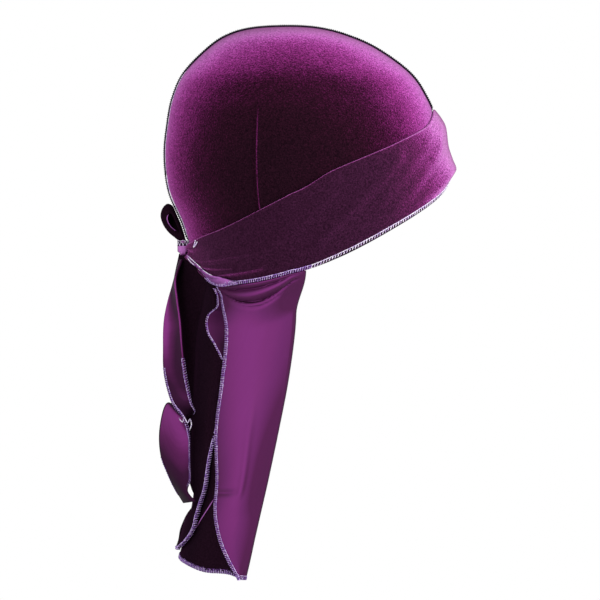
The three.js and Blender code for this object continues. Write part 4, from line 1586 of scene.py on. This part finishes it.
def backTailMiddle():
    along, across = shareGrid(backTail["rows"], backTail["columns"])
    row = readTable(backEdges, along)
    root = tailRoot()
    z = backTail["top"] - along * backTail["length"]
    edgeX, edgeY = flapEdgeAt(z)
    backX = root[0] + row[..., 1] * tails["width"]
    frontX = root[0] + row[..., 3] * tails["width"]
    # it only reaches under the flap where the flap has come away from the layer below
    reach = edgeX - backTail["shortOfFlap"] + backTail["underFlap"] * smoothStep(-z, *backTail["comesAway"])
    x = mix(backX, np.minimum(frontX, reach), across)
    y = root[1] - mix(row[..., 2], row[..., 4], across) * tails["depth"]
    y = y - tails["bulge"] * np.sin(np.pi * across) * np.sin(np.pi * along)
    plan = capePlan(dropAt(z))
    under = smoothStep(x - edgeX, -backTail["tuckWidth"], -1)
    standOff = mix(tails["standOff"], backTail["tuck"], under)
    hung = capeSide(x + standOff, plan)
    draped = np.where(hung > 0, hung + standOff, 0)
    behind = np.maximum(-draped, edgeY + backTail["tuck"])
    y = mix(np.minimum(y, -draped), behind, under)
    below = capeMiddle[capeColumnCount : 2 * capeColumnCount - 1]
    seated = restOn(below, zip(x.ravel(), z.ravel()), backTail["offCape"], 4).reshape(*x.shape, 3)[..., 1]
    return np.stack([x, np.where(x > plan[0], np.minimum(y, seated), y), z], axis=-1)


twistedGrid = twistedMiddle()
twistedCloth = clothSheet("twisted_tie_end", twistedGrid, tails["wall"], tieSatinShadedToFold, tieSatin)
# its back edge is serged from where it crosses over, its front edge only along the turn
twistedYarns = [
    overlockEdge(
        "twisted_tie_end_overlock_" + which,
        *partOf(edgeOf(twistedGrid, edge), first, last),
        tails["wall"],
        yarnPair,
        bite=1.2,
        yarn=0.18,
    )
    for which, edge, first, last in (
        ("back", "firstRow", 0.44, 0.93), ("front", "lastRow", 0.4, 0.58), ("tip", "lastRow", 0.85, 0.97)
    )
]
# thread that has curled up where the tie crosses itself: x, z
curledThread = [
    (-77.7, -271.4),
    (-74.9, -274.5),
    (-73.5, -271.7),
    (-71.4, -274.9),
    (-69.7, -272.4),
    (-68.6, -276.3),
    (-70.0, -280.5),
]
curledPlaces = restOn(twistedGrid, curledThread, 1.3)
curledPiece = strand("twisted_tie_end_loose_thread", curledPlaces, 0.32, whiteThread)
backTailGrid = backTailMiddle()
backTailCloth = clothSheet("back_tie_end", backTailGrid, tails["wall"], hangingShadedVelvet, tieSatin)
backTailYarn = overlockEdge(
    "back_tie_end_overlock",
    *joinEdges(
        (partOf(edgeOf(backTailGrid, "lastRow"), 0.4, 1.0), False), (edgeOf(backTailGrid, "lastColumn"), True)
    ),
    tails["wall"],
    yarnPair,
    bite=2.0,
)
print("stage: tie ends")

# Floor

floorMaterial, floorTree, floorShader = newMaterial("paleFloor")
setInputs(floorTree, floorShader, {"Base Color": linear("#f2f0f2"), "Roughness": 0.9})
floorMesh = bpy.data.meshes.new("floor")
halfFloor = studio["floorSize"] * mm / 2
floorLevel = -studio["floorDrop"] * mm
floorCorners = [(x * halfFloor, y * halfFloor, floorLevel) for x, y in [(-1, -1), (1, -1), (1, 1), (-1, 1)]]
floorMesh.from_pydata(floorCorners, [], [(0, 1, 2, 3)])
floorMesh.materials.append(floorMaterial)
floor = newPiece("floor", floorMesh)

# What each piece stands for

# the yarns that aren't on a sheet of cloth
for thread in [seamStitches, *knotYarns]:
    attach(thread, "root")

# piece, the solid it stands for, slot, the yarns sewn on it and the strands that paint highlights on it, and
# how a cloth was cut: its width and length flat in metres, and its own area where it was cut to a shape
underCrown = {"held": "stretched", "rests_on": [seamAllowance]}
onCrown = {"rests_on": [crownRight, crownLeft]}
hungFromKnot = {"held": "hung", "rests_on": [knotPiece]}
dressed = [
    (crownRight, "crown_right", "velvet", needleThreads, {"flat": (0.2, 0.31), "area": 0.043, **underCrown}),
    (crownLeft, "crown_left", "velvet", [], {"flat": (0.2, 0.31), "area": 0.043, **underCrown}),
    (seamAllowance, "centre_seam", "thread", [], None),
    (
        wrapCloth,
        "forehead_wrap",
        "velvet",
        [*wrapYarns, *threadEndPieces],
        {"flat": (0.055, 0.58), "area": 0.027, "held": "stretched", **onCrown},
    ),
    (
        hemCloth,
        "forehead_wrap",
        "satin_reverse",
        [hemYarn, *hemThreads],
        {"flat": (0.012, 0.046), "held": "folded", "rests_on": [wrapCloth]},
    ),
    (knotPiece, "knot", "satin_reverse", [], None),
    (
        loopCloth,
        "bow_loop",
        "velvet",
        [loopEdge],
        {"flat": (0.018, 0.075), "area": 0.00095, "held": "folded", "rests_on": [knotPiece]},
    ),
    (
        twistedCloth,
        "twisted_tail",
        "satin_reverse",
        [*twistedYarns, curledPiece],
        {"flat": (0.027, 0.175), **hungFromKnot},
    ),
    (backTailCloth, "back_tail", "velvet", [backTailYarn], {"flat": (0.04, 0.21), **hungFromKnot}),
    (
        capeCloth,
        "cape",
        "satin_reverse",
        [capeYarn, creaseHighlight],
        {"flat": (0.24, 0.23), "area": 0.045, "held": "hung", **onCrown},
    ),
    (
        curlCloth,
        "cape",
        "satin_reverse",
        [curlYarn],
        {"flat": (0.012, 0.05), "held": "hung", "rests_on": [capeCloth]},
    ),
]
for piece, node, slot, threads, _ in dressed:
    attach(piece, "root")
    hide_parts(node)
    for thread in threads:
        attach(thread, "root")
print("stage: pieces handed over", len(dressed))
